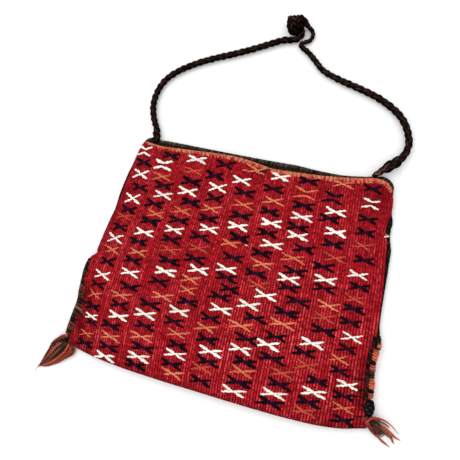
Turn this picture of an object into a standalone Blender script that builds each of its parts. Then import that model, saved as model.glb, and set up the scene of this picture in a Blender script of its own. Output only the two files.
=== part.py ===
"""A flat-woven wool shoulder bag lying on its back.

The red front cloth carries rows of brocaded crosses, folds under at the foot and meets a plain
dark back cloth there. Both mouth edges are overcast, the lower sides are wrapped with yarn and
end in tassels, and a braided goat-hair strap runs from one mouth corner over a toggle knot to
the other. X runs to the bag's right, Y to its mouth, and Z up from the surface it lies on.
The origin is on that surface, under the middle of the pocket.
"""
import math

import bmesh
import bpy
from mathutils import Vector

# The cloth's outline, in metres
FOOT_WIDTH = 0.303
BAG_HEIGHT = 0.2395
FOOT_Y = -0.1215
LEFT_TAPER = 0.0185
RIGHT_TAPER = 0.0105
TAPER_POWER = 2.2
WRAP_PINCH = 0.0020
WRAP_PINCH_FADE = 0.010
FOLD_CORNER_RISE = 0.008
MOUTH_SAG = 0.0080
MOUTH_SAG_X = 0.0235
MOUTH_SAG_LEFT = 0.022
MOUTH_SAG_RIGHT = 0.060
MOUTH_CORNER_DROP = 0.008
MOUTH_CORNER_SHARE = 0.12

# Thicknesses and the pocket's fullness
FRONT_THICKNESS = 0.0026
BACK_THICKNESS = 0.0026
CLEARANCE = 0.0003
PUFF = 0.0125
MOUTH_PUFF_SHARE = 0.60
FOLD_PUFF_SHARE = 0.25
FOLD_RISE_SHARE = 0.22
MOUTH_FALL_START_SHARE = 0.35
FOLD_UNDER = 0.008
BACK_MARGIN = 0.0012

# The two overcast mouth edges
BAND_WIDTH = 0.0052
BAND_DEPTH = 0.0038
HEM_WIDTH = 0.0054
HEM_DEPTH = 0.0042
BACK_LIP = 0.0040
HEM_END_INSET = 0.006
MOUTH_STEPS = 48
MOUTH_BAND_SHARE = 0.975
BACK_STEPS = 12
HEM_STEPS = 16

# The brocaded crosses
FOOT_CROSS_WIDTH = 0.0235
MOUTH_CROSS_WIDTH = 0.0195
CROSS_HEIGHT = 0.0096
CROSS_STROKE = 0.0023
CROSS_RELIEF = 0.0009
CROSS_RIDGE_SHARE = 0.86
CROSS_MARGIN = 0.0005
PICK_PITCH = 0.01035
UPPER_PICK_PITCH = 0.0124
UPPER_PICK_ROW = 16
FIRST_PICK = 0.0112
FOOT_COLUMN_PITCH = 0.0334
HEAD_COLUMN_PITCH = 0.0306
LOOSE_ROW = 7

# One line for each column of crosses, left to right: its drift to the right at the fold and at
# the mouth, its lift at the fold, its added lift for each row past LOOSE_ROW, and its rows
COLUMNS = (
    (0.0013, 0.0004, 0.0040, 0.00245, 19),
    (-0.0052, 0.0017, -0.0010, 0.00060, 21),
    (-0.0025, 0.0019, -0.0020, 0.00050, 21),
    (0.0006, 0.0037, -0.0010, 0.00020, 21),
    (0.0037, -0.0037, 0.0010, 0.00000, 21),
    (0.0023, 0.0010, -0.0005, -0.00015, 21),
    (0.0040, 0.0005, 0.0000, 0.00000, 21),
    (0.0036, 0.0001, 0.0010, 0.00110, 20),
    (0.0004, -0.0003, 0.0035, 0.00220, 19),
)

# The wrapped lower sides: each run of yarn from the top down, with its length
WRAP_HEIGHT = 0.0084
LEFT_WRAP_WIDTH = 0.0074
RIGHT_WRAP_WIDTH = 0.0060
WRAP_TOP = 0.1015
RIGHT_WRAP_DROP = 0.0080
WRAP_TURN = 0.0028
WRAP_RIB = 0.0004
LEFT_WRAPS = (
    ("dark", 0.020),
    ("brown", 0.013),
    ("dark", 0.017),
    ("salmon", 0.005),
    ("dark", 0.014),
    ("brown", 0.014),
)
RIGHT_WRAPS = (
    ("dark", 0.0130),
    ("salmon", 0.0105),
    ("dark", 0.0035),
    ("salmon", 0.0070),
    ("dark", 0.0045),
    ("salmon", 0.0095),
    ("dark", 0.0030),
    ("salmon", 0.0045),
)
LEFT_KNOT_LENGTH = 0.010
LEFT_KNOT_WIDTH = 0.0090
RIGHT_KNOT_LENGTH = 0.0150
RIGHT_KNOT_WIDTH = 0.0094
KNOT_HEIGHT = 0.0096
KNOT_END_SHARE = 0.12
KNOT_STEPS = 6

# The toggle knot on the strap
TOGGLE_X = 0.0110
TOGGLE_Y = 0.2710
TOGGLE_RADIUS = 0.0082
TOGGLE_LENGTH = 0.0216
TOGGLE_FULLNESS = 0.4
TOGGLE_LOBES = 8
TOGGLE_LOBE_DEPTH = 0.0005
TOGGLE_FOOT_SHARE = 0.10
TOGGLE_HEAD_SHARE = 0.12
TOGGLE_RINGS = 9

# The strap's braid and where it is lashed to the mouth
STRAP_DIAMETER = 0.0070
LEFT_TIP_DIAMETER = 0.0052
LEFT_TIP_SHARE = 0.10
LOOP_DIAMETER = 0.0040
LOOP_START_SHARE = 0.62
LOOP_FULL_SHARE = 0.76
STRAP_POINT_STEP = 0.0080
LEFT_LASHING_X = -0.1160
RIGHT_LASHING_X = 0.1270
LASHING_WIDTH = 0.0100
LASHING_HEIGHT = 0.0046
LASHING_ROUNDING = 0.7
LASHING_STEPS = 4
STRAP_END_BULGE = 0.0096
STRAP_END_BULGE_SHARE = 0.625
STRAP_END_THIN_SHARE = 0.75
STRAP_END_THIN_START = 0.60
STRAP_END_POINT_STEP = 0.0040
HEM_RAMP = 0.016
HEM_RAMP_SHARE = 0.6

# Routes are lists of (x, y) in millimetres, chosen along the object's own lines
MILLIMETRE = 0.001
LEFT_STRAP_ROUTE = (
    (-115.8, 124.6), (-119.0, 134.0), (-124.5, 147.0), (-129.1, 162.0), (-129.4, 178.0),
    (-123.5, 194.5), (-110.5, 207.5), (-90.5, 219.0), (-69.5, 227.5), (-48.5, 234.5),
    (-28.5, 242.0), (-9.5, 250.0), (2.0, 254.8), (10.5, 255.9), (18.3, 257.9), (22.9, 263.2),
    (23.1, 268.4),
)
RIGHT_STRAP_ROUTE = (
    (143.1, 140.6), (146.4, 147.0), (146.9, 158.0), (141.0, 174.0), (130.0, 187.0),
    (112.0, 198.6), (92.0, 207.0), (70.0, 214.8), (51.5, 223.6), (40.0, 235.0), (31.5, 243.0),
    (25.1, 247.6), (23.2, 251.2), (26.5, 254.6), (31.3, 258.4), (33.1, 264.0), (31.3, 270.2),
    (26.5, 273.6), (21.7, 273.8),
)
RIGHT_STRAP_END_ROUTE = ((142.4, 139.4), (139.0, 134.0), (133.9, 128.8), (129.0, 125.2))

# Tassel strands: the colour, the full radius in millimetres, and the route of the middle line,
# measured from the foot's corner
LEFT_TASSEL = (
    ("salmon", 2.7, ((-7.8, 7.6), (-14.5, 3.7), (-23.5, -4.5), (-29.5, -16.0))),
    ("dark", 2.8, ((-4.7, 7.4), (-10.0, 0.0), (-18.5, -10.0), (-25.5, -22.0))),
    ("salmon", 2.5, ((-1.9, 7.2), (-5.0, -3.5), (-12.5, -15.0), (-20.5, -26.0))),
)
RIGHT_TASSEL = (
    ("salmon", 1.6, ((6.8, 22.1), (14.5, 19.9), (23.5, 16.5), (32.5, 11.0))),
    ("dark", 1.9, ((4.5, 21.9), (13.0, 14.5), (21.5, 9.0), (30.5, 3.0))),
    ("salmon", 1.7, ((2.2, 21.9), (8.5, 10.0), (16.0, 3.0), (25.5, -4.0))),
)
TASSEL_ROOT_SHARE = 0.45
TASSEL_TIP_SHARE = 0.35
TASSEL_SWELL_SHARE = 1 / 3
TASSEL_POINT_STEP = 0.006

WOOL_ROUGHNESS = 0.92
COLOURS = {
    "red": (0.42, 0.014, 0.028),
    "back": (0.042, 0.030, 0.018),
    "salmon": (0.62, 0.16, 0.075),
    "brown": (0.095, 0.035, 0.022),
    "dark": (0.016, 0.009, 0.007),
}


def clear_scene():
    for item in list(bpy.data.objects):
        bpy.data.objects.remove(item)


def wool(name, colour):
    """A matt wool material of its own for one sub-part."""
    material = bpy.data.materials.new(name)
    material.use_nodes = True
    shader = material.node_tree.nodes["Principled BSDF"]
    shader.inputs["Base Color"].default_value = (*COLOURS[colour], 1.0)
    shader.inputs["Roughness"].default_value = WOOL_ROUGHNESS
    shader.inputs["Metallic"].default_value = 0.0
    return material


def add_object(name, data, colour):
    item = bpy.data.objects.new(name, data)
    bpy.context.scene.collection.objects.link(item)
    data.materials.append(wool(name, colour))
    return item


def finish_mesh(name, mesh_edit, colour):
    """Turn a closed bmesh into a named object with its faces pointing out."""
    bmesh.ops.triangulate(mesh_edit, faces=mesh_edit.faces)
    bmesh.ops.recalc_face_normals(mesh_edit, faces=mesh_edit.faces)
    if mesh_edit.calc_volume(signed=True) < 0:
        bmesh.ops.reverse_faces(mesh_edit, faces=mesh_edit.faces)
    mesh = bpy.data.meshes.new(name)
    mesh_edit.to_mesh(mesh)
    mesh_edit.free()
    return add_object(name, mesh, colour)


# The cloth's shape

def wrap_top_y(side):
    """Where the yarn wrapping starts, going down a side."""
    return FOOT_Y + WRAP_TOP - (RIGHT_WRAP_DROP if side > 0 else 0.0)


def side_x(side, y):
    """The front cloth's edge at y: drawn in towards the mouth and pinched by the wrapping."""
    share = min(max((y - FOOT_Y) / BAG_HEIGHT, 0.0), 1.0)
    taper = LEFT_TAPER if side < 0 else RIGHT_TAPER
    pinch = min(max((wrap_top_y(side) - y) / WRAP_PINCH_FADE + 1.0, 0.0), 1.0)
    return side * (FOOT_WIDTH / 2 - taper * share ** TAPER_POWER - WRAP_PINCH * pinch)


def across_share(x, y):
    """Where x lies between the two edges, from -1 to 1."""
    left = side_x(-1, y)
    right = side_x(1, y)
    return min(max((2 * x - left - right) / (right - left), -1.0), 1.0)


def x_at(share, y):
    left = side_x(-1, y)
    right = side_x(1, y)
    return (left + right) / 2 + share * (right - left) / 2


def fold_y(x):
    """The foot's outermost line, rising a little at both corners."""
    return FOOT_Y + FOLD_CORNER_RISE * min(abs(x) / (FOOT_WIDTH / 2), 1.0) ** 4


def seam_y():
    """The straight seam underneath, where the front cloth meets the back cloth."""
    return FOOT_Y + FOLD_CORNER_RISE + FOLD_UNDER


def mouth_y(x):
    """The front mouth line: it sags right of the middle and rounds off at the corners."""
    top = FOOT_Y + BAG_HEIGHT
    spread = MOUTH_SAG_LEFT if x < MOUTH_SAG_X else MOUTH_SAG_RIGHT
    sag = MOUTH_SAG * math.exp(-0.5 * ((x - MOUTH_SAG_X) / spread) ** 2)
    corner = max(abs(across_share(x, top)) - 1.0 + MOUTH_CORNER_SHARE, 0.0) / MOUTH_CORNER_SHARE
    return top - sag - MOUTH_CORNER_DROP * corner ** 2


def below_mouth_y(x, depth):
    """A line that keeps its distance from the mouth line, also where that slopes."""
    step = BAND_WIDTH / 4
    slope = (mouth_y(x + step) - mouth_y(x - step)) / (2 * step)
    return mouth_y(x) - depth * math.hypot(1.0, slope)


def cloth_end_y(x):
    """Where the front cloth stops under its overcast band."""
    return below_mouth_y(x, BAND_WIDTH + CLEARANCE)


def edge_z():
    """The top of the front cloth where it is sewn down at a side."""
    return BACK_THICKNESS + CLEARANCE + FRONT_THICKNESS


def top_z(x, y):
    """The upper face of the front cloth over the slack pocket."""
    foot = fold_y(x)
    along = min(max((y - foot) / (mouth_y(x) - foot), 0.0), 1.0)
    near_fold = max(1.0 - along / FOLD_RISE_SHARE, 0.0)
    rise = 1.0 - (1.0 - FOLD_PUFF_SHARE) * near_fold ** 2
    late = max(along - MOUTH_FALL_START_SHARE, 0.0) / (1.0 - MOUTH_FALL_START_SHARE)
    fall = 1.0 - (1.0 - MOUTH_PUFF_SHARE) * late * late * (3.0 - 2.0 * late)
    return edge_z() + PUFF * (1.0 - abs(across_share(x, y)) ** 3) * rise * fall


def fold_radius(x):
    """Half the height of the rounded fold."""
    return top_z(x, fold_y(x) + edge_z()) / 2


def fold_arc(x, inset):
    """One line of points from the seam below, round the fold, to its top."""
    outer = fold_radius(x)
    centre_y = fold_y(x) + outer
    radius = outer - inset
    points = [(x, seam_y(), inset)]
    for step in range(6):
        angle = math.pi * step / 5
        points.append((x, centre_y - radius * math.sin(angle), outer - radius * math.cos(angle)))
    return points


# The crosses' places

def row_y(column, row):
    """The pick line that carries one cross."""
    lift, loose = COLUMNS[column][2:4]
    upper = max(row - UPPER_PICK_ROW, 0)
    plain = FOOT_Y + FIRST_PICK + PICK_PITCH * (row - upper) + UPPER_PICK_PITCH * upper
    return plain + lift + loose * max(row - LOOSE_ROW, 0)


def column_x(column, y):
    foot_drift, head_drift = COLUMNS[column][:2]
    share = (y - FOOT_Y) / BAG_HEIGHT
    place = column - (len(COLUMNS) - 1) / 2
    foot = place * FOOT_COLUMN_PITCH + foot_drift
    head = place * HEAD_COLUMN_PITCH + head_drift
    return foot + (head - foot) * share


def cross_width(y):
    share = (y - FOOT_Y) / BAG_HEIGHT
    return FOOT_CROSS_WIDTH + (MOUTH_CROSS_WIDTH - FOOT_CROSS_WIDTH) * share


def cell_half_width(y):
    return cross_width(y) / 2 + CROSS_MARGIN


def column_lines(column):
    """The y of the lines between one column's crosses, from the fold to the mouth."""
    foot_x = column_x(column, FOOT_Y)
    head_x = column_x(column, FOOT_Y + BAG_HEIGHT)
    lowest = fold_y(foot_x) + fold_radius(foot_x) + CROSS_MARGIN
    reach = cell_half_width(FOOT_Y + BAG_HEIGHT)
    highest = min(cloth_end_y(head_x + reach * step / 3) for step in range(-3, 4))
    rows = [row_y(column, row) for row in range(COLUMNS[column][4])]
    rows = [y for y in rows if lowest < y < highest - CROSS_HEIGHT / 3]
    lines = [max(rows[0] - PICK_PITCH / 2, lowest)]
    lines += [(low + high) / 2 for low, high in zip(rows, rows[1:])]
    lines.append(min(rows[-1] + PICK_PITCH / 2, highest - CROSS_MARGIN))
    return rows, lines


def column_fits(column):
    """Whether a column's cells stay on the cloth, clear of both sides and of their neighbour."""
    for y in (FOOT_Y, FOOT_Y + BAG_HEIGHT):
        x = column_x(column, y)
        reach = cell_half_width(y) + CROSS_MARGIN
        if x - reach < side_x(-1, y) or x + reach > side_x(1, y):
            return False
        if column and x - reach < column_x(column - 1, y) + reach:
            return False
    return True


# The front cloth

def zip_rows(mesh_edit, lower, upper, key):
    """Fill the strip between two rows of points that may differ in number."""
    i = 0
    j = 0
    while i < len(lower) - 1 or j < len(upper) - 1:
        take_lower = j == len(upper) - 1
        if i < len(lower) - 1 and j < len(upper) - 1:
            take_lower = key(lower[i + 1].co) < key(upper[j + 1].co)
        if take_lower:
            mesh_edit.faces.new((lower[i], lower[i + 1], upper[j]))
            i += 1
        else:
            mesh_edit.faces.new((lower[i], upper[j + 1], upper[j]))
            j += 1


def along_key(point):
    """An order along the cloth: towards the fold underneath, then up the front."""
    if point.z < edge_z() / 2:
        return FOOT_Y - point.y
    return BAG_HEIGHT + point.y + point.z


def cross_cell(mesh_edit, corners, centre, half_height):
    """One cell of cloth with a raised cross: two strokes, ridged along their middle."""
    half_width = cross_width(centre[1]) / 2
    stroke = min(CROSS_STROKE / 2, half_height / 3)
    slant = math.atan2(half_height - stroke, half_width)
    reach_x = half_width - stroke * math.sin(slant)
    reach_y = reach_x * math.tan(slant)
    notch_x = stroke / math.sin(slant)
    notch_y = stroke / math.cos(slant)

    def point(x, y, lift=0.0):
        place_x = centre[0] + x
        place_y = centre[1] + y
        return mesh_edit.verts.new((place_x, place_y, top_z(place_x, place_y) + lift))

    arms = ((-1, -1), (1, -1), (1, 1), (-1, 1))
    notches = [point(0, -notch_y), point(notch_x, 0), point(0, notch_y), point(-notch_x, 0)]
    hub = point(0, 0, CROSS_RELIEF)
    tips = []
    for index, (right, up) in enumerate(arms):
        end_x = right * reach_x
        end_y = up * reach_y
        aside_x = -up * stroke * math.sin(slant)
        aside_y = right * stroke * math.cos(slant)
        near_tip = point(end_x - aside_x, end_y - aside_y)
        far_tip = point(end_x + aside_x, end_y + aside_y)
        ridge = point(end_x * CROSS_RIDGE_SHARE, end_y * CROSS_RIDGE_SHARE, CROSS_RELIEF)
        mesh_edit.faces.new((notches[index - 1], near_tip, ridge, hub))
        mesh_edit.faces.new((far_tip, notches[index], hub, ridge))
        mesh_edit.faces.new((near_tip, far_tip, ridge))
        tips.append((near_tip, far_tip))
    for index, (near_tip, far_tip) in enumerate(tips):
        following = (index + 1) % len(tips)
        next_tip = tips[following][0]
        mesh_edit.faces.new((corners[index], far_tip, near_tip))
        mesh_edit.faces.new((corners[index], corners[following], far_tip))
        mesh_edit.faces.new((far_tip, corners[following], next_tip))
        mesh_edit.faces.new((far_tip, next_tip, notches[index]))


def column_strip(mesh_edit, column):
    """One column of cells with the cloth below it. Gives its two long edges."""
    rows, lines = column_lines(column)
    foot_x = column_x(column, lines[0])
    edges = []
    for side in (-1, 1):
        points = fold_arc(foot_x + side * cell_half_width(lines[0]), 0.0)[:-1]
        for y in lines:
            x = column_x(column, y) + side * cell_half_width(y)
            points.append((x, y, top_z(x, y)))
        edges.append([mesh_edit.verts.new(point) for point in points])
    left, right = edges
    first_line = len(fold_arc(foot_x, 0.0)) - 1
    for index in range(len(left) - 1):
        corners = (left[index], right[index], right[index + 1], left[index + 1])
        row = index - first_line
        if 0 <= row < len(rows):
            low = lines[row]
            high = lines[row + 1]
            half = min(CROSS_HEIGHT, high - low - 2 * CROSS_MARGIN) / 2
            y = min(max(rows[row], low + half + CROSS_MARGIN), high - half - CROSS_MARGIN)
            cross_cell(mesh_edit, corners, (column_x(column, y), y), half)
        else:
            mesh_edit.faces.new(corners)
    return left, right


def cloth_line(mesh_edit, share, inset, steps=10):
    """A plain line of points along the cloth at a constant share of its width."""
    foot_x = x_at(share, FOOT_Y)
    points = fold_arc(foot_x, inset)
    start = points[-1][1]
    end = cloth_end_y(x_at(share, FOOT_Y + BAG_HEIGHT)) - BAND_WIDTH
    for step in range(1, steps + 1):
        y = start + (end - start) * step / steps
        x = x_at(share, y)
        points.append((x, y, top_z(x, y) - inset))
    return [mesh_edit.verts.new(point) for point in points]


def mouth_shares():
    """Even steps across the mouth that follow its sag closely."""
    return [2 * step / MOUTH_STEPS - 1 for step in range(MOUTH_STEPS + 1)]


def mouth_row(mesh_edit, inset, more_places=()):
    """The front cloth's end at the mouth, as one row of points."""
    row = []
    even_places = [x_at(share, FOOT_Y + BAG_HEIGHT) for share in mouth_shares()]
    for x in sorted([*even_places, *more_places]):
        end = cloth_end_y(x)
        row.append(mesh_edit.verts.new((x, end, top_z(x, end) - inset)))
    return row


def front_panel():
    mesh_edit = bmesh.new()
    outer = [cloth_line(mesh_edit, -1.0, 0.0)]
    for column in range(len(COLUMNS)):
        if column_fits(column):
            outer.extend(column_strip(mesh_edit, column))
    outer.append(cloth_line(mesh_edit, 1.0, 0.0))
    for index in range(0, len(outer), 2):
        zip_rows(mesh_edit, outer[index], outer[index + 1], along_key)
    inner_lines = 12
    shares = [2 * index / inner_lines - 1 for index in range(inner_lines + 1)]
    inner = [cloth_line(mesh_edit, share, FRONT_THICKNESS) for share in shares]
    for left, right in zip(inner, inner[1:]):
        zip_rows(mesh_edit, left, right, along_key)

    def across(point):
        return point.x

    outer_mouth = mouth_row(mesh_edit, 0.0, [line[-1].co.x for line in outer[1:-1]])
    inner_mouth = mouth_row(mesh_edit, FRONT_THICKNESS)
    zip_rows(mesh_edit, [line[-1] for line in outer], outer_mouth, across)
    zip_rows(mesh_edit, [line[-1] for line in inner], inner_mouth, across)
    zip_rows(mesh_edit, outer_mouth, inner_mouth, across)
    zip_rows(mesh_edit, [line[0] for line in outer], [line[0] for line in inner], across)
    for end in (0, -1):
        rim = outer[end] + [outer_mouth[end]]
        lining = inner[end] + [inner_mouth[end]]
        for index in range(len(rim) - 1):
            mesh_edit.faces.new((rim[index], rim[index + 1], lining[index + 1], lining[index]))
    return finish_mesh("front_panel", mesh_edit, "red")


# The back cloth and the two mouth edges

def back_side_x(side, y):
    return side_x(side, y) + side * BACK_MARGIN


def hem_top_y():
    return FOOT_Y + BAG_HEIGHT + BACK_LIP


def back_panel():
    """A flat slab from the seam at the fold to the dark hem."""
    low = seam_y() + CLEARANCE
    high = hem_top_y() - HEM_WIDTH - CLEARANCE
    outline = []
    for side in (1, -1):
        between = [low + (high - low) * step / BACK_STEPS for step in range(1, BACK_STEPS)]
        between += [wrap_top_y(side), wrap_top_y(side) + WRAP_PINCH_FADE]
        heights = [low, *sorted(y for y in between if low < y < high), high]
        outline += [(back_side_x(side, y), y) for y in heights[::side]]
    mesh_edit = bmesh.new()
    face = mesh_edit.faces.new([mesh_edit.verts.new((x, y, 0.0)) for x, y in outline])
    grown = bmesh.ops.extrude_face_region(mesh_edit, geom=[face])
    raised = [part for part in grown["geom"] if isinstance(part, bmesh.types.BMVert)]
    bmesh.ops.translate(mesh_edit, verts=raised, vec=(0.0, 0.0, BACK_THICKNESS))
    return finish_mesh("back_panel", mesh_edit, "back")


def sweep(name, path, widths, heights, colour, sides=8):
    """A closed bar of oval section along a path that stays near the horizontal."""
    mesh_edit = bmesh.new()
    rings = []
    for index, point in enumerate(path):
        ahead = Vector(path[min(index + 1, len(path) - 1)])
        behind = Vector(path[max(index - 1, 0)])
        heading = (ahead - behind).normalized()
        out = heading.cross(Vector((0, 0, 1))).normalized()
        up = out.cross(heading)
        ring = []
        for side in range(sides):
            angle = 2 * math.pi * (side + 0.5) / sides
            offset = out * (widths[index] / 2 * math.cos(angle))
            offset += up * (heights[index] / 2 * math.sin(angle))
            ring.append(mesh_edit.verts.new(Vector(point) + offset))
        rings.append(ring)
    for low, high in zip(rings, rings[1:]):
        for side in range(sides):
            following = (side + 1) % sides
            mesh_edit.faces.new((low[side], low[following], high[following], high[side]))
    mesh_edit.faces.new(rings[0])
    mesh_edit.faces.new(rings[-1])
    return finish_mesh(name, mesh_edit, colour)


def mouth_band():
    """The salmon overcasting round the front cloth's mouth edge."""
    path = []
    for share in mouth_shares():
        x = x_at(share * MOUTH_BAND_SHARE, FOOT_Y + BAG_HEIGHT)
        height = top_z(x, cloth_end_y(x)) - FRONT_THICKNESS / 2
        path.append((x, below_mouth_y(x, BAND_WIDTH / 2), height))
    return sweep("mouth_band", path, [BAND_WIDTH] * len(path), [BAND_DEPTH] * len(path), "salmon")


def back_hem():
    """The dark overcasting round the back cloth's mouth edge."""
    y = hem_top_y() - HEM_WIDTH / 2
    left = back_side_x(-1, y) + HEM_END_INSET
    right = back_side_x(1, y) - HEM_END_INSET
    places = [left + (right - left) * step / HEM_STEPS for step in range(HEM_STEPS + 1)]
    path = [(x, y, HEM_DEPTH / 2) for x in places]
    return sweep("back_hem", path, [HEM_WIDTH] * len(path), [HEM_DEPTH] * len(path), "dark")


# The wrapped sides, their knots and tassels

def wrap_bar(name, side, top, length, width, colour):
    """One run of yarn wound round the two cloths' joined edge, ribbed by its turns."""
    turns = max(round(length / WRAP_TURN), 1)
    path = []
    widths = []
    heights = []
    for step in range(2 * turns + 1):
        y = top - length * step / (2 * turns)
        rib = 0.0 if step % 2 else -WRAP_RIB
        path.append((back_side_x(side, y) + side * (CLEARANCE + width / 2), y, WRAP_HEIGHT / 2))
        widths.append(width + 2 * rib)
        heights.append(WRAP_HEIGHT + 2 * rib)
    return sweep(name, path, widths, heights, colour)


def wrapped_side(side, label, runs, width, knot_length, knot_width):
    """All the runs down one side, then the knot at the foot's corner."""
    top = wrap_top_y(side)
    for number, (colour, length) in enumerate(runs, 1):
        wrap_bar(f"{label}_wrap_{number}", side, top, length - CLEARANCE, width, colour)
        top -= length
    path = []
    sizes = []
    for step in range(KNOT_STEPS + 1):
        angle = math.pi * (KNOT_END_SHARE + (1 - 2 * KNOT_END_SHARE) * step / KNOT_STEPS)
        y = top - knot_length * step / KNOT_STEPS
        x = back_side_x(side, y) + side * (CLEARANCE + knot_width / 2)
        path.append((x, y, KNOT_HEIGHT / 2))
        sizes.append(math.sqrt(math.sin(angle)))
    widths = [knot_width * size for size in sizes]
    heights = [KNOT_HEIGHT * size for size in sizes]
    sweep(f"{label}_corner_knot", path, widths, heights, "dark", sides=10)


def smooth_points(route, step):
    """Points about step apart, on a smooth curve through a route's points given in millimetres."""
    points = [Vector((x, y, 0.0)) * MILLIMETRE for x, y in route]
    padded = [2 * points[0] - points[1], *points, 2 * points[-1] - points[-2]]
    smooth = []
    for index in range(len(points) - 1):
        before, start, end, after = padded[index:index + 4]
        pieces = max(round((end - start).length / step), 1)
        for piece in range(pieces):
            t = piece / pieces
            pull = 2 * start + (end - before) * t
            pull += (2 * before - 5 * start + 4 * end - after) * t ** 2
            pull += (3 * start - before - 3 * end + after) * t ** 3
            smooth.append(pull / 2)
    smooth.append(points[-1])
    return smooth


def tassel(side, label, strands):
    """Strands that leave a corner knot at its middle height and come down to the surface."""
    corner = Vector((side * FOOT_WIDTH / 2, FOOT_Y, 0.0))
    for number, (colour, radius, route) in enumerate(strands, 1):
        flat = smooth_points(route, TASSEL_POINT_STEP)
        sizes = []
        path = []
        for index, offset in enumerate(flat):
            point = corner + offset
            share = index / (len(flat) - 1)
            out = min(share / TASSEL_SWELL_SHARE, 1.0)
            swell = TASSEL_ROOT_SHARE + (1 - TASSEL_ROOT_SHARE) * out
            thin = 1 - (1 - TASSEL_TIP_SHARE) * share ** 2
            size = 2 * radius * MILLIMETRE * swell * thin
            lift = (KNOT_HEIGHT - size) / 2 * (1.0 - out) ** 2
            sizes.append(size)
            path.append((point.x, point.y, CLEARANCE + size / 2 + lift))
        sweep(f"{label}_tassel_{number}", path, sizes, sizes, colour, sides=7)


# The strap

def strap_tube(name, route, diameters):
    """A tube along a strap's route, resting a clearance above the surface."""
    flat = smooth_points(route, STRAP_POINT_STEP)
    curve = bpy.data.curves.new(name, "CURVE")
    curve.dimensions = "3D"
    curve.bevel_depth = STRAP_DIAMETER / 2
    curve.bevel_resolution = 2
    curve.use_fill_caps = True
    spline = curve.splines.new("POLY")
    spline.points.add(len(flat) - 1)
    for index, point in enumerate(flat):
        diameter = diameters(index / (len(flat) - 1))
        height = CLEARANCE + diameter / 2 + hem_lift(point)
        spline.points[index].co = (point.x, point.y, height, 1.0)
        spline.points[index].radius = diameter / STRAP_DIAMETER
    return add_object(name, curve, "dark")


def hem_lift(point):
    """How far the strap is raised where it comes down off the hem's lashing."""
    beyond = min(max((point.y - hem_top_y()) / HEM_RAMP, 0.0), 1.0)
    return HEM_DEPTH * HEM_RAMP_SHARE * (1.0 - beyond) ** 2


def left_strap():
    """From its lashing to the curl beside the toggle, thinner at its tip."""
    def diameters(share):
        thin = max(share - 1.0 + LEFT_TIP_SHARE, 0.0) / LEFT_TIP_SHARE
        return STRAP_DIAMETER + (LEFT_TIP_DIAMETER - STRAP_DIAMETER) * thin

    return strap_tube("strap_left", LEFT_STRAP_ROUTE, diameters)


def right_strap():
    """From its thick end to the thin loop that goes round behind the toggle."""
    def diameters(share):
        thin = (share - LOOP_START_SHARE) / (LOOP_FULL_SHARE - LOOP_START_SHARE)
        thin = min(max(thin, 0.0), 1.0)
        return STRAP_DIAMETER + (LOOP_DIAMETER - STRAP_DIAMETER) * thin

    return strap_tube("strap_right", RIGHT_STRAP_ROUTE, diameters)


def right_strap_end():
    """The thick last stretch of the right strap, tapering to its lashing."""
    flat = smooth_points(RIGHT_STRAP_END_ROUTE, STRAP_END_POINT_STEP)
    path = []
    sizes = []
    for index, point in enumerate(flat):
        share = index / (len(flat) - 1)
        swell = math.sin(math.pi * min(share / STRAP_END_BULGE_SHARE, 1.0))
        thin = max(share - STRAP_END_THIN_START, 0.0) / (1.0 - STRAP_END_THIN_START)
        size = STRAP_DIAMETER + (STRAP_END_BULGE - STRAP_DIAMETER) * swell
        size *= 1.0 - (1.0 - STRAP_END_THIN_SHARE) * thin
        sizes.append(size)
        path.append((point.x, point.y, CLEARANCE + size / 2 + hem_lift(point)))
    return sweep("strap_right_end", path, sizes, sizes, "dark", sides=10)


def lashing(name, x):
    """A short lump of yarn that ties a strap end down on the dark hem."""
    half = LASHING_WIDTH / 2
    y = FOOT_Y + BAG_HEIGHT + CLEARANCE + HEM_WIDTH / 2
    z = HEM_DEPTH + CLEARANCE + LASHING_HEIGHT / 2
    path = []
    sizes = []
    for step in range(LASHING_STEPS + 1):
        share = 2 * step / LASHING_STEPS - 1
        path.append((x + share * half, y, z))
        sizes.append(math.sqrt(1.0 - LASHING_ROUNDING * share * share))
    widths = [HEM_WIDTH * size for size in sizes]
    heights = [LASHING_HEIGHT * size for size in sizes]
    return sweep(name, path, widths, heights, "dark")


def toggle_knot():
    """A barrel of wound braid lying on its side, lobed like the strands that cover it."""
    mesh_edit = bmesh.new()
    loops = []
    for ring in range(TOGGLE_RINGS):
        share = ring / (TOGGLE_RINGS - 1)
        angle = math.pi * (TOGGLE_FOOT_SHARE + (1 - TOGGLE_FOOT_SHARE - TOGGLE_HEAD_SHARE) * share)
        y = TOGGLE_Y + TOGGLE_LENGTH * (share - 0.5)
        radius = TOGGLE_RADIUS * math.sin(angle) ** TOGGLE_FULLNESS
        loop = []
        for side in range(2 * TOGGLE_LOBES):
            turn = math.pi * side / TOGGLE_LOBES
            depth = TOGGLE_LOBE_DEPTH if side % 2 else 0.0
            x = TOGGLE_X + (radius - depth) * math.cos(turn)
            z = CLEARANCE + TOGGLE_RADIUS + (radius - depth) * math.sin(turn)
            loop.append(mesh_edit.verts.new((x, y, z)))
        loops.append(loop)
    for low, high in zip(loops, loops[1:]):
        for side in range(2 * TOGGLE_LOBES):
            following = (side + 1) % (2 * TOGGLE_LOBES)
            mesh_edit.faces.new((low[side], low[following], high[following], high[side]))
    mesh_edit.faces.new(loops[0])
    mesh_edit.faces.new(loops[-1])
    return finish_mesh("toggle_knot", mesh_edit, "dark")


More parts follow.
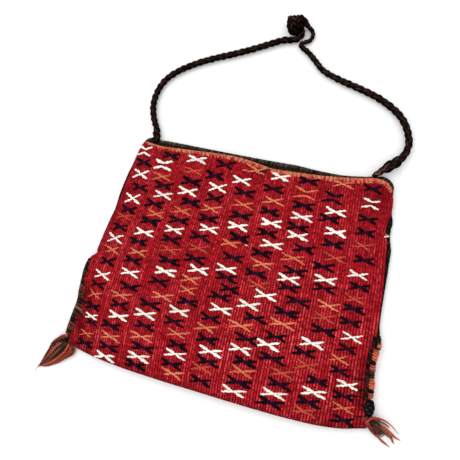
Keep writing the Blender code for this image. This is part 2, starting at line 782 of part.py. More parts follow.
def main():
    clear_scene()
    front_panel()
    back_panel()
    mouth_band()
    back_hem()
    wrapped_side(-1, "left", LEFT_WRAPS, LEFT_WRAP_WIDTH, LEFT_KNOT_LENGTH, LEFT_KNOT_WIDTH)
    wrapped_side(1, "right", RIGHT_WRAPS, RIGHT_WRAP_WIDTH, RIGHT_KNOT_LENGTH, RIGHT_KNOT_WIDTH)
    tassel(-1, "left", LEFT_TASSEL)
    tassel(1, "right", RIGHT_TASSEL)
    left_strap()
    right_strap()
    right_strap_end()
    lashing("strap_lashing_left", LEFT_LASHING_X)
    lashing("strap_lashing_right", RIGHT_LASHING_X)
    toggle_knot()


main()
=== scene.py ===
"""The looks of a flat-woven wool shoulder bag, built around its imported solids.

Every piece is in metres, in the solids' frame: X to the bag's right, Y to its mouth, Z up from
the surface that it lies on.
"""
import math
import random

import bpy
import numpy as np
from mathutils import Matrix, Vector


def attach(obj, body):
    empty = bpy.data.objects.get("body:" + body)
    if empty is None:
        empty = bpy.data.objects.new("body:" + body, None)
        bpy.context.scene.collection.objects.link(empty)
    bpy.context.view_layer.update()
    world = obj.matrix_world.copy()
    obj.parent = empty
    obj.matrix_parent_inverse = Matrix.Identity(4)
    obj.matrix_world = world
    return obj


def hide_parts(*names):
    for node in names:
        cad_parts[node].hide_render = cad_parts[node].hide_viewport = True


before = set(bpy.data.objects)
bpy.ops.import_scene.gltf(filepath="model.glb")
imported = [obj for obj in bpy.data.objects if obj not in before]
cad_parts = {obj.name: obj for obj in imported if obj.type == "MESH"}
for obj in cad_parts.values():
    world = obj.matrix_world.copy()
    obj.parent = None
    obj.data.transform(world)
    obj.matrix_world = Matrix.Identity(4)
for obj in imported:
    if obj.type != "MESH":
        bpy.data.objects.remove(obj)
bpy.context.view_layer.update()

# The camera: the photograph's place, turn in degrees and lens
CAMERA_PLACE = (0.12061, -0.02068, 0.44175)
CAMERA_TURN = (11.1905, 14.1389, 13.5274)
CAMERA_LENS = 35.217
CAMERA_SENSOR = 36.0
CAMERA_NEAR = 0.01

# The cloth's outline and fullness. The tables of its lines are in millimetres
MILLIMETRE = 0.001
FOOT_WIDTH = 0.303
BAG_HEIGHT = 0.2395
FOOT_Y = -0.1215
LEFT_TAPER = 0.0185
RIGHT_TAPER = 0.0105
TAPER_POWER = 2.2
EDGE_WAVE_SHARE = 0.70
FOLD_CORNER_RISE = 0.008
CLOTH_THICKNESS = 0.0026
CLEARANCE = 0.0003
# The lowest that the surface of a resting yarn may come
LOWEST = 0.0001
PUFF = 0.0125
MOUTH_PUFF_SHARE = 0.60
FOLD_PUFF_SHARE = 0.25
FOLD_RISE_SHARE = 0.22
MOUTH_FALL_START_SHARE = 0.35
FOLD_UNDER = 0.008
HEM_DEPTH = 0.0042
# (x, y) of the front cloth's mouth line
MOUTH_LINE = (
    (-134, 109.5), (-129.5, 116.6), (-125, 119.8), (-119, 118.9), (-104, 116.4), (-84, 115.9),
    (-61, 116.1), (-35, 116.1), (-16, 115.4), (0, 113.4), (12, 111), (21, 109), (34, 108.6),
    (48, 108.9), (81, 110.4), (111, 113.9), (125, 116), (131, 115.2), (136, 112.6), (140, 107.5),
    (142, 102),
)
# (x, rise) of its fold line over the middle of the foot
FOLD_LINE = (
    (-160, 8.6), (-150, 7.6), (-138, 5.5), (-120, 3.1), (-90, 1), (-50, 0.1), (0, 0), (50, 0.1),
    (90, 1), (120, 3.3), (137, 6.4), (149, 10), (157, 12.4),
)
# (y, x) of the front cloth's two edges
LEFT_EDGE = (
    (-122, -156), (-113, -157), (-104, -158.8), (-90, -158.4), (-78, -157.2), (-67, -156),
    (-56, -157.2), (-43, -158), (-32, -158.2), (-24.2, -157), (-17.2, -154.2), (-13, -149.6),
    (-5.6, -148.4), (12.9, -145.4), (29.7, -141.8), (39.8, -139.6), (54.4, -138.2), (70.1, -136.5),
    (82, -134.9), (91.1, -133.4), (107.1, -130.8), (114.1, -129.7), (119, -128.8),
)
RIGHT_EDGE = (
    (-122, 155), (-110, 155.6), (-99, 155), (-86, 153.5), (-66, 152), (-40, 150.8), (-26.6, 150.2),
    (-19.2, 149.9), (-7.7, 149.2), (3.2, 148.6), (12.5, 148.3), (26.4, 147), (35.8, 146.1),
    (42.3, 145.4), (49.8, 144.9), (59.1, 143.7), (66.3, 141.3), (73, 141.2), (80, 142.4),
    (88, 143.2), (97.7, 142.6), (107.5, 141.5), (119, 140),
)
# (x, y) of the back cloth's upper edge
BACK_TOP = (
    (-127, 125), (-110, 125), (-86, 124.2), (-66, 123.2), (-38, 121.8), (-19, 120.9), (14, 119.6),
    (45, 118.6), (61, 116.9), (80, 115.6), (94, 115.4), (111, 117), (130, 119.8),
)

# The crosses. For each column, its x at rows 0, 10 and 20, its y at rows 0, 5, 10, 15 and 20,
# and its number of rows
FOOT_CROSS_WIDTH = 0.0235
MOUTH_CROSS_WIDTH = 0.0205
CROSS_HEIGHT = 0.0090
# How wide each column's crosses are, as a share of the usual width
COLUMN_SIZES = (0.93, 1.04, 1.06, 0.98, 0.99, 1.01, 1.02, 0.96, 0.84)
COLUMNS = (
    ((-135.4, -127.7, -115), (-111, -57.6, 7.3, 67.6, 120), 19),
    ((-105.8, -96.8, -88.7), (-113.7, -59.1, -2.6, 51.5, 106.4), 21),
    ((-70.2, -62.5, -58), (-112.8, -61.3, -4.3, 49.1, 106.2), 21),
    ((-28.8, -32, -25.7), (-110, -61.1, -6.7, 46.1, 104.9), 21),
    ((0.7, 2.1, 3.5), (-108.8, -59.2, -8.1, 43.8, 106.2), 21),
    ((37.7, 36, 30.8), (-109.4, -59.7, -8.1, 42.7, 101), 21),
    ((72.6, 64.5, 61.8), (-110.1, -59.9, -6.5, 43.9, 101.9), 21),
    ((103.7, 96.5, 99.8), (-108.9, -58.3, -1.1, 56.3, 123.5), 20),
    ((134.7, 125.3, 123.8), (-107.5, -56.6, -1.5, 61.5, 126), 19),
)

# The colours run in diagonals, one step on for each row. Here the weaver slipped: for a column,
# each row from which the order goes on by so many steps more
COLOUR_ORDER = ("white", "navy", "orange", "navy")
COLOUR_SLIPS = {
    0: ((10, 1), (16, 2), (18, 2)),
    1: ((19, 1),),
    2: ((20, 1),),
    3: ((9, -1), (10, 1), (20, 1)),
    4: ((9, -1), (10, 1), (20, 1)),
    5: ((9, -1), (10, 1), (12, 2), (16, 2)),
    6: ((9, -1), (10, 1), (11, 2), (17, 2)),
    7: ((9, -1), (17, 2)),
    8: ((9, -1), (16, -1)),
}
# How far single crosses stand to the right of their column: for each column, row: millimetres
SET_OFF = (
    {0: 2, 1: 1, 2: 4, 3: 1, 4: -1, 5: -4, 6: -4, 7: -2, 8: -1, 10: -1, 13: 2, 14: 2, 15: 6,
     16: 1, 17: -1, 18: -5},
    {1: 1, 3: -3, 4: 3, 6: -3, 7: 4, 8: -1, 9: -2, 11: -3, 13: 2, 14: 5, 16: 6, 17: 3, 18: -2,
     19: -6},
    {1: 1, 2: 4, 3: -1, 5: -4, 6: -2, 7: 8, 9: 3, 10: 4, 12: -2, 13: -2, 16: 6},
    {1: -2, 2: 1, 3: 2, 5: -6, 6: -3, 7: 4, 10: 6, 11: -1, 13: -2, 14: 5, 19: -7},
    {1: -1, 2: 4, 3: 4, 4: -2, 5: -6, 6: -4, 7: 4, 9: 8, 10: 3, 12: 3, 13: -4, 14: 5, 18: -2,
     19: -8, 20: 6},
    {0: -3, 2: 1, 3: 2, 4: -5, 6: -9, 7: 3, 8: -5, 9: 9, 11: -4, 13: -3, 14: 6, 16: 2, 17: -2,
     19: -3, 20: 3},
    {0: -3, 2: 4, 3: 5, 4: -5, 5: -11, 6: -5, 8: 2, 9: 11, 11: -1, 12: 4, 14: 8, 16: -2},
    {0: -4, 2: 4, 3: 7, 4: -4, 5: -8, 6: -2, 7: 6, 8: 4, 9: 7, 12: -4, 13: 5, 16: -9, 17: -5,
     18: -10, 19: -5},
    {3: 2, 4: -6, 5: -8, 6: -1, 7: 2, 8: -1, 11: 3, 13: 3, 14: -1, 18: -1},
)
# How far they stand above their row's line, in the same form
SET_UP = (
    {0: 4, 1: 5, 2: 8, 3: 3, 4: 2, 5: 2, 7: -2, 13: -4, 14: -3, 15: -1, 16: 3, 17: 6, 18: 9},
    {6: -2, 7: -3, 9: 2, 13: 2, 18: -2},
    {6: -1, 7: -2},
    {2: 1, 11: -1, 13: 1},
    {1: 3, 8: 1, 11: -2, 13: 3, 19: -1, 20: -2},
    {2: 1, 9: 2},
    {6: -2, 9: 2, 10: 2, 12: -2, 14: 1, 15: 2},
    {6: -2, 10: 3, 13: -1, 17: -5, 18: -5, 19: -4},
    {8: 2, 9: 3, 12: -2, 17: 2, 18: 4},
)
# Smaller crosses, by (column, row), with their share of the usual size
SMALL_CROSSES = {
    (0, 1): 0.85, (0, 2): 0.7, (0, 3): 0.78, (0, 5): 0.85, (0, 18): 0.88, (5, 20): 0.9,
    (8, 17): 0.92,
}
# Taller crosses, by (column, row), with their share of the usual height
TALL_CROSSES = {
    (0, 5): 1.15, (0, 7): 1.2, (0, 8): 1.15, (0, 10): 1.45, (0, 11): 1.12, (0, 13): 1.2,
    (0, 14): 1.62, (0, 15): 1.2, (0, 16): 1.5, (0, 17): 1.15, (0, 18): 1.1, (1, 15): 1.12,
    (1, 18): 1.12, (2, 16): 1.12, (2, 17): 1.22, (2, 18): 1.15, (3, 17): 1.18, (3, 18): 1.28,
    (3, 19): 1.28, (3, 20): 1.15, (4, 18): 1.2, (4, 19): 1.1, (8, 0): 1.12, (8, 4): 1.15,
    (8, 6): 1.22, (8, 7): 1.12, (8, 18): 1.25,
}
# Crosses whose upper and lower arms don't meet, by (column, row)
SPLIT_CROSSES = ((0, 18), (1, 19), (6, 19), (7, 18), (8, 17))

# The wrapped lower sides, as the solids have them: each run from the top down, with its length
WRAP_HEIGHT = 0.0084
WRAP_TOP = 0.1015
RIGHT_WRAP_DROP = 0.0080
LEFT_WRAPS = (
    ("dark", 0.02), ("brown", 0.013), ("dark", 0.017), ("salmon", 0.005), ("dark", 0.014),
    ("brown", 0.014),
)
RIGHT_WRAPS = (
    ("dark", 0.013), ("salmon", 0.0105), ("dark", 0.0035), ("salmon", 0.007), ("dark", 0.0045),
    ("salmon", 0.0095), ("dark", 0.003), ("salmon", 0.0045),
)

# The strap's routes in millimetres
STRAP_DIAMETER = 0.0070
LEFT_TIP_DIAMETER = 0.0064
LEFT_TIP_SHARE = 0.10
LOOP_DIAMETER = 0.0046
STRAP_END_BULGE = 0.0110
HEM_RAMP = 0.016
LEFT_STRAP_ROUTE = (
    (-112.6, 122.8), (-116.2, 134), (-123.6, 147), (-129.1, 162), (-129.4, 178), (-123.5, 194.5),
    (-110.5, 207.5), (-90.5, 219), (-69.5, 227.5), (-48.5, 234.5), (-28.5, 242), (-9.5, 250),
    (2, 254.6), (10.5, 255.6), (17.8, 258.2), (20.6, 263.2), (19.2, 268.4),
)
RIGHT_STRAP_ROUTE = (
    (122, 119.4), (126.6, 123.2), (131.6, 127.8), (136.6, 132.6), (141.6, 138.4), (146, 146.5),
    (146.9, 158), (141, 174), (130, 187), (112, 198.6), (92, 207), (70, 214.8), (51.5, 223.6),
    (40, 235), (31.5, 243), (24.6, 247.8), (21.6, 251.6), (25.4, 254.6), (30.6, 257.2),
    (32.4, 263), (30.6, 268.6), (27, 271.6), (21.7, 272.8),
)

# Tassels: each lock's solid, colour, number of yarns, width in millimetres at its root, middle and
# tip, how high it lies (1 is 6 mm at its root and 0.8 mm at its tip), and route in millimetres
LEFT_TASSEL = (
    (2, "mixed", 50, (8, 15, 1.6), 0.05,
     ((-155, -109), (-159.5, -115.5), (-164.2, -123.4), (-171, -133.5), (-184, -145.2))),
    (3, "knob", 18, (4, 6.5, 1.2), 0.15,
     ((-152.3, -111), (-151.2, -117), (-153.6, -123.6), (-160.4, -130.6), (-169, -137.4))),
    (1, "brick", 10, (2.6, 3, 1), 1,
     ((-154.6, -104.2), (-159, -105.6), (-164, -108.2), (-168.6, -112.6), (-171.6, -118.6))),
    (1, "brick", 22, (3, 5.4, 1), 0.55,
     ((-157, -106.6), (-163, -108.6), (-167.6, -112.1), (-171.4, -117.4), (-173.2, -124),
      (-176.3, -130.8), (-180.4, -139.4), (-184.6, -145.4))),
    (1, "brick", 3, (0.6, 0.5, 0.2), 0.4,
     ((-174.3, -123.5), (-177.9, -132), (-180.8, -140), (-183.3, -145), (-185.1, -148.7),
      (-186.1, -152.6))),
    (1, "olive", 11, (2.6, 2.2, 0.6), 0.7,
     ((-155, -110), (-163.3, -111.9), (-169.3, -115.3), (-173, -120.8), (-175.8, -128.3),
      (-179.6, -136.6), (-182.4, -142))),
    (1, "bright", 5, (0.8, 1.8, 0.8), 0.85,
     ((-160.6, -113.6), (-166.4, -119), (-170.8, -125.6), (-174.4, -132.6), (-178, -139))),
    (2, "core", 20, (4, 5.4, 1.4), 0.6,
     ((-154, -111), (-160, -116.1), (-164.8, -123.2), (-170.4, -130), (-175.6, -136.2),
      (-184.6, -144.6))),
    (2, "mixed", 7, (1.2, 2.2, 1), 0.95,
     ((-159, -117.6), (-164, -124), (-169.6, -130.8), (-175.2, -137.4), (-181, -142.8))),
    (2, "olive", 6, (1.2, 1.1, 0.5), 0.8,
     ((-153.5, -112), (-157.5, -118), (-162.5, -125.2), (-168.4, -132.1), (-174.7, -137.5),
      (-181.1, -142.4))),
    (3, "bright", 12, (2, 2.4, 0.9), 0.78,
     ((-152, -113), (-153.6, -118.7), (-157, -124.3), (-161.8, -129.7), (-167.6, -135.8),
      (-173.6, -140.2), (-180, -143.4), (-187, -145.8))),
    (3, "knob", 24, (5.6, 6.2, 1.4), 0.45,
     ((-152.3, -112), (-148.6, -116.4), (-147.6, -120.2), (-151, -124), (-157, -128),
      (-163.6, -133.6), (-172, -139.8), (-180, -143.4), (-185.5, -145))),
)
RIGHT_TASSEL = (
    (2, "core", 52, (4.6, 8.6, 5.2), 0.45,
     ((153.6, -100.4), (156.4, -102.8), (160.3, -105.2), (164.6, -108), (168.4, -111),
      (171, -113.2))),
    (2, "olive", 8, (2, 2.6, 1.4), 0.85,
     ((153.8, -99.8), (157, -101.8), (160.2, -104.6), (163.6, -108), (166.2, -110.8))),
    (1, "pale", 5, (1.6, 1.4, 0.9), 0.55,
     ((156, -98.6), (161, -99.4), (166.3, -100.7), (169.8, -101.4), (173, -103.1),
      (175.1, -104.1))),
    (3, "pink", 7, (0.6, 1.5, 0.5), 0.45,
     ((166.6, -103), (171.2, -105), (175.6, -107.9), (179.8, -110.1), (183.3, -111.1),
      (186.2, -111.8))),
    (2, "core", 16, (1.5, 4.2, 1.6), 0.75,
     ((160.6, -102.6), (164.6, -104.2), (168.6, -106.8), (172.8, -110.4))),
    (3, "rust", 9, (0.6, 2.6, 0.8), 0.45,
     ((165.4, -104.4), (169.6, -106.4), (173.5, -109.3), (176.8, -111.4), (178.8, -114.8),
      (180.8, -117.7))),
    (3, "wine", 15, (2.2, 3, 1.8), 1.1,
     ((152.6, -99.4), (155.2, -104.2), (159, -108.6), (163.8, -112), (168.4, -115.2))),
    (3, "brick", 7, (1, 1.5, 0.4), 1.2,
     ((163.8, -110.6), (168, -114.2), (172.4, -117), (178.9, -120.2))),
    (3, "pink", 3, (0.6, 0.8, 0.5), 1.6,
     ((153.4, -101.2), (156.4, -104.4), (160.4, -107.8), (165, -111))),
    (1, "red", 8, (2.2, 1.2, 0.4), 1.4,
     ((153, -104.4), (154.6, -102.6), (157.5, -99.4), (161.1, -97.9), (165.8, -97.9),
      (170.3, -98.9), (174.9, -101), (178.2, -103.5), (181, -105.7), (183.3, -108))),
)

# The weave of the front cloth
RIBS = 114
RIB_PROFILE = (0.0, 0.92, 0.92)
RIB_DEPTH = 0.00055
BEAD_DIP = 0.72
UNDER_ROWS = 8
ARC_ROWS = 12
FOLD_FADE_ROWS = 10
TOP_ROWS = 202
LINING_COLUMNS = 80
LINING_ROWS = 50

# Linear colours of the yarns
WHITE = (0.93, 0.89, 0.80)
NAVY = (0.0100, 0.0042, 0.0115)
ORANGES = ((0.72, 0.18, 0.085), (0.76, 0.24, 0.125), (0.58, 0.085, 0.050))
SALMON = (0.74, 0.185, 0.095)
BROWN = (0.090, 0.036, 0.020)
DARK = (0.012, 0.0075, 0.0055)
HAIR = (0.0078, 0.0040, 0.0032)
OLIVE = (0.034, 0.026, 0.016)


def limited(value):
    """The value, kept between 0 and 1."""
    return np.clip(value, 0.0, 1.0)


def shares(count):
    """Evenly spaced shares from 0 to 1."""
    return np.linspace(0.0, 1.0, count)


def bulge(share, power=1.0):
    """0 at the shares 0 and 1, and 1 halfway. The lower the power, the fuller."""
    return np.sin(math.pi * share) ** power


def ring_angles(sides):
    return 2 * math.pi * np.arange(sides) / sides


def new_object(name, data):
    """An object that is linked into the scene."""
    item = bpy.data.objects.new(name, data)
    bpy.context.scene.collection.objects.link(item)
    return item


def camera():
    data = bpy.data.cameras.new("camera")
    data.lens = CAMERA_LENS
    data.sensor_width = CAMERA_SENSOR
    data.clip_start = CAMERA_NEAR
    view = new_object("camera", data)
    view.location = CAMERA_PLACE
    view.rotation_euler = [math.radians(angle) for angle in CAMERA_TURN]
    bpy.context.scene.camera = view


# The cloth's shape, for arrays of places

def through(knots, place):
    """A smooth line through knots given in millimetres, read at a place in metres."""
    at, value = np.array(knots).T * MILLIMETRE
    slope = np.gradient(value, at)
    place = np.asarray(place, float)
    index = np.clip(np.searchsorted(at, place) - 1, 0, len(at) - 2)
    width = at[index + 1] - at[index]
    t = limited((place - at[index]) / width)
    line = (1 + 2 * t) * (1 - t) ** 2 * value[index] + t * t * (3 - 2 * t) * value[index + 1]
    pull = t * (1 - t) ** 2 * slope[index] - t * t * (1 - t) * slope[index + 1]
    return line + width * pull


def wrap_top_y(side):
    return FOOT_Y + WRAP_TOP - (RIGHT_WRAP_DROP if side > 0 else 0.0)


def side_x(side, y):
    """The line beside which the padded cloth comes down to its edge."""
    share = limited((y - FOOT_Y) / BAG_HEIGHT)
    taper = LEFT_TAPER if side < 0 else RIGHT_TAPER
    return side * (FOOT_WIDTH / 2 - taper * share ** TAPER_POWER)


def edge_x(side, y):
    """The front cloth's edge, with the bulge below the top of the wrapping."""
    return through(LEFT_EDGE if side < 0 else RIGHT_EDGE, y)


def across_share(x, y):
    """Where x lies between the two side lines, from -1 to 1."""
    left = side_x(-1, y)
    right = side_x(1, y)
    return np.clip((2 * x - left - right) / (right - left), -1.0, 1.0)


def x_at(share, y):
    """The place at a share of the cloth's width: its edges' waves die away inward."""
    left = side_x(-1, y)
    right = side_x(1, y)
    x = (left + right) / 2 + share * (right - left) / 2
    for side, line in ((-1, left), (1, right)):
        near = limited((side * share - EDGE_WAVE_SHARE) / (1.0 - EDGE_WAVE_SHARE))
        x = x + near ** 1.5 * (edge_x(side, y) - line)
    return x


def fold_y(x):
    return FOOT_Y + through(FOLD_LINE, x)


def mouth_y(x):
    return through(MOUTH_LINE, x)


def below_mouth_y(x, depth):
    """A line that keeps its distance from the mouth line, also where that slopes."""
    step = 0.0013
    slope = (mouth_y(x + step) - mouth_y(x - step)) / (2 * step)
    return mouth_y(x) - depth * np.hypot(1.0, slope)


def edge_z():
    return CLOTH_THICKNESS + CLEARANCE + CLOTH_THICKNESS


def plain_top_z(x, y):
    """The upper face of the front cloth before its wrinkles."""
    foot = fold_y(x)
    along = limited((y - foot) / (mouth_y(x) - foot))
    near_fold = np.maximum(1.0 - along / FOLD_RISE_SHARE, 0.0)
    rise = 1.0 - (1.0 - FOLD_PUFF_SHARE) * near_fold ** 2
    late = np.maximum(along - MOUTH_FALL_START_SHARE, 0.0) / (1.0 - MOUTH_FALL_START_SHARE)
    fall = 1.0 - (1.0 - MOUTH_PUFF_SHARE) * late * late * (3.0 - 2.0 * late)
    return edge_z() + PUFF * (1.0 - np.abs(across_share(x, y)) ** 3) * rise * fall


def fold_radius(x):
    return plain_top_z(x, fold_y(x) + edge_z()) / 2


# Wrinkles: each layer's cell size across and along the cloth, its height and its seed
LATTICE_CELLS = 64
WRINKLE_LAYERS = (
    (0.070, 0.055, 0.0011, 3),
    (0.024, 0.045, 0.0006, 8),
    (0.030, 0.014, 0.0004, 21),
)
GATHER_REACH = 0.034
GATHER_PITCH = 0.0165
GATHER_HEIGHT = 0.0010
WRINKLE_EDGE_FADE = 0.010
# Soft folds: (x, y) of both ends and half the width in millimetres, and the depth
SOFT_FOLDS = (
    ((-150, -48), (-139, -66), 4, 0.0022),
    ((-140, -64), (-128, -90), 3.6, 0.0016),
    ((-146, -84), (-137, -104), 4, 0.002),
    ((138, 60), (128, 98), 5, 0.001),
    ((144, -30), (143, -96), 4, 0.0014),
)


# Lines of painted shade, in the same form with their strength from 0 to 1
PAINTED_SHADE_LINES = (
    ((-157, -30), (-156, -104), 4, 0.55),
    ((-150, -50), (-142, -72), 4.5, 0.6),
    ((-140, -66), (-130, -88), 2.6, 0.45),
    ((-149, -84), (-140, -100), 2.8, 0.5),
    ((147, -34), (147.6, -100), 2, 0.45),
    ((137, -70.5), (149, -68.4), 0.8, 0.5),
    ((138, -80), (150, -78), 0.8, 0.5),
    ((128, 102), (137, 98), 4, 0.35),
    ((22, 101), (2, 104), 2.5, 0.3),
    ((-140, 0), (-124, 108), 11, 0.2),
    ((-152, -92), (-120, -110), 12, 0.3),
    ((150, -60), (112, -116), 14, 0.26),
    ((136, 80), (112, 108), 12, 0.28),
    ((70, 102), (98, 100), 7, 0.24),
    ((-117, 101), (-89, 101), 8, 0.16),
    ((-60, 106), (-35, 106), 6, 0.12),
)


def lattice(seed):
    return np.random.default_rng(seed).uniform(-1.0, 1.0, (LATTICE_CELLS, LATTICE_CELLS))


LATTICES = {seed: lattice(seed) for *_, seed in WRINKLE_LAYERS}


def lattice_height(values, u, v):
    """Smooth heights between a lattice's random values, at u and v in cells."""
    column = np.floor(u).astype(int)
    row = np.floor(v).astype(int)
    across = u - column
    along = v - row
    across = across * across * (3 - 2 * across)
    along = along * along * (3 - 2 * along)
    corners = []
    for right in (0, 1):
        for up in (0, 1):
            corners.append(values[(column + right) % LATTICE_CELLS, (row + up) % LATTICE_CELLS])
    low = corners[0] * (1 - across) + corners[2] * across
    high = corners[1] * (1 - across) + corners[3] * across
    return low * (1 - along) + high * along


def soft_fold(x, y, start, end, half_width, depth):
    """A shallow valley between two points, dying away at both ends."""
    start = np.array(start) * MILLIMETRE
    end = np.array(end) * MILLIMETRE
    run = end - start
    length = np.hypot(*run)
    along = ((x - start[0]) * run[0] + (y - start[1]) * run[1]) / length
    aside = ((x - start[0]) * run[1] - (y - start[1]) * run[0]) / length
    share = np.clip(along / length, -0.5, 1.5)
    fade = np.exp(-4.0 * np.maximum(np.abs(share - 0.5) - 0.3, 0.0) ** 2 / 0.16)
    return -depth * fade * np.exp(-0.5 * (aside / (half_width * MILLIMETRE)) ** 2)


def wrinkle(x, y):
    """How far the slack cloth stands above or below its plain shape."""
    lift = 0.0
    for wide, tall, height, seed in WRINKLE_LAYERS:
        lift = lift + height * lattice_height(LATTICES[seed], x / wide + 30.0, y / tall + 30.0)
    for side in (-1, 1):
        inward = side * (side_x(side, y) - x)
        near = limited(1.0 - inward / GATHER_REACH)
        beside_wrap = limited((wrap_top_y(side) + GATHER_PITCH - y) / GATHER_PITCH)
        wave = np.sin(2 * math.pi * (y + 0.35 * inward) / GATHER_PITCH + 1.3 * side)
        lift = lift + GATHER_HEIGHT * near * near * beside_wrap * wave
    for fold in SOFT_FOLDS:
        lift = lift + soft_fold(x, y, *fold)
    left = (x - edge_x(-1, y)) / WRINKLE_EDGE_FADE
    right = (edge_x(1, y) - x) / WRINKLE_EDGE_FADE
    foot = (y - fold_y(x)) / WRINKLE_EDGE_FADE - 0.5
    fade = np.clip(left, 0.1, 1.0) * np.clip(right, 0.1, 1.0) * limited(foot)
    return lift * fade


def shade(x, y):
    """The cloth's painted shade at a place: along its fold, in the puckers and beside the wraps.
    """
    dark = 0.95 * np.exp(-np.maximum(y - fold_y(x), 0.0) / 0.0030)
    for start, end, half_width, depth in PAINTED_SHADE_LINES:
        dark = dark - soft_fold(x, y, start, end, half_width, depth)
    return limited(dark)


def surface_z(x, y):
    """The upper face of the front cloth, also where it rounds over at the fold."""
    radius = fold_radius(x)
    back = np.maximum(fold_y(x) + radius - y, 0.0)
    rounding = radius - np.sqrt(np.maximum(radius ** 2 - back ** 2, 0.0))
    return np.where(back > 0, 2 * radius - rounding, plain_top_z(x, y)) + wrinkle(x, y)


# Building blocks

class Skein:
    """Gathers yarns and other closed forms into one mesh, with their colours and their lay."""

    def __init__(self, seed):
        self.points = []
        self.faces = []
        self.colours = []
        self.lays = []
        self.count = 0
        self.random = random.Random(seed)

    def add_tube(self, path, widths, heights, sides, colour, swell=None, along=None, rests=False):
        """A closed tube of oval section round a path.

        swell is as in oval_rings, along says how far along the yarn each ring is, and rests keeps
        the tube from going below LOWEST.
        """
        rings = oval_rings(path, widths, heights, sides, swell)
        if rests:
            rings[:, :, 2] = np.maximum(rings[:, :, 2], LOWEST)
        count = len(rings)
        self.points.append(rings.reshape(-1, 3))
        for ring in range(count - 1):
            low = self.count + ring * sides
            high = low + sides
            for side in range(sides):
                following = (side + 1) % sides
                self.faces.append((low + side, low + following, high + following, high + side))
        self.faces.append(tuple(self.count + side for side in reversed(range(sides))))
        last = self.count + (count - 1) * sides
        self.faces.append(tuple(last + side for side in range(sides)))
        angles = ring_angles(sides)
        lay = np.zeros((count, sides, 3))
        lay[:, :, 0] = np.cos(angles)
        lay[:, :, 1] = np.sin(angles)
        lay[:, :, 2] = (distances(path) if along is None else along)[:, None]
        self.lays.append(lay.reshape(-1, 3))
        shades = np.ones((count * sides, 4))
        shades[:, :3] = np.broadcast_to(colour, (count, sides, 3)).reshape(-1, 3)
        self.colours.append(shades)
        self.count += count * sides

    def shade(self, colour, spread):
        """A colour a little lighter or darker than the one given."""
        return np.array(colour) * (1.0 + self.random.uniform(-spread, spread))

    def piece(self, name, material, nodes=(), slot=None):
        """The mesh object, with the solids that it stands for."""
        return add_piece(name, np.concatenate(self.points), self.faces, material, nodes,
                         np.concatenate(self.colours), np.concatenate(self.lays))

    def yarn_piece(self, name, node, colour, wools):
        self.piece(name, wools[colour], [node], colour + "_yarn")


def add_piece(name, points, faces, material, nodes, colours=None, lays=None):
    """A smooth mesh object that rides on the bag and stands for the named solids."""
    mesh = bpy.data.meshes.new(name)
    mesh.from_pydata(points.tolist(), [], faces)
    mesh.update()
    if colours is not None:
        attribute = mesh.color_attributes.new("yarn", "FLOAT_COLOR", "POINT")
        attribute.data.foreach_set("color", colours.astype(np.float32).ravel())
    if lays is not None:
        attribute = mesh.attributes.new("lay", "FLOAT_VECTOR", "POINT")
        attribute.data.foreach_set("vector", lays.astype(np.float32).ravel())
    mesh.shade_smooth()
    mesh.materials.append(material)
    item = new_object(name, mesh)
    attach(item, "root")
    if nodes:
        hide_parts(*nodes)
    return item


def distances(path):
    """How far along a path each of its points lies."""
    steps = np.linalg.norm(np.diff(path, axis=0), axis=1)
    return np.concatenate([[0.0], np.cumsum(steps)])


def even_path(path, step):
    """The same path with its points evenly spaced, about step apart."""
    path = np.asarray(path, float)
    along = distances(path)
    places = np.linspace(0.0, along[-1], max(round(along[-1] / step), 2) + 1)
    return np.stack([np.interp(places, along, path[:, axis]) for axis in range(3)], axis=1)


def smooth_route(route, step):
    """Evenly spaced points on a Catmull-Rom curve through flat points given in millimetres."""
    points = [Vector((x, y)) * MILLIMETRE for x, y in route]
    padded = [2 * points[0] - points[1], *points, 2 * points[-1] - points[-2]]
    smooth = []
    for index in range(len(points) - 1):
        before, start, end, after = padded[index:index + 4]
        pieces = max(round((end - start).length / step), 1)
        for piece in range(pieces):
            t = piece / pieces
            pull = 2 * start + (end - before) * t
            pull += (2 * before - 5 * start + 4 * end - after) * t ** 2
            pull += (3 * start - before - 3 * end + after) * t ** 3
            smooth.append(pull / 2)
    smooth.append(points[-1])
    flat = np.array([(point.x, point.y, 0.0) for point in smooth])
    return even_path(flat, step)


def frames_along(path):
    """The side and upward directions at each point of a path."""
    heading = np.gradient(path, axis=0)
    heading /= np.linalg.norm(heading, axis=1)[:, None]
    aside = np.cross(heading, (0.0, 0.0, 1.0))
    aside /= np.linalg.norm(aside, axis=1)[:, None]
    return aside, np.cross(aside, heading)


def oval_rings(path, widths, heights, sides, swell=None):
    """Rings of an oval section round a path. swell is a factor for each point of each ring."""
    aside, up = frames_along(path)
    angles = ring_angles(sides)
    reach = np.ones((len(path), sides)) if swell is None else swell
    out = np.cos(angles)[None, :] * reach * np.asarray(widths)[..., None] / 2
    rise = np.sin(angles)[None, :] * reach * np.asarray(heights)[..., None] / 2
    rings = path[:, None, :] + out[:, :, None] * aside[:, None, :]
    return rings + rise[:, :, None] * up[:, None, :]


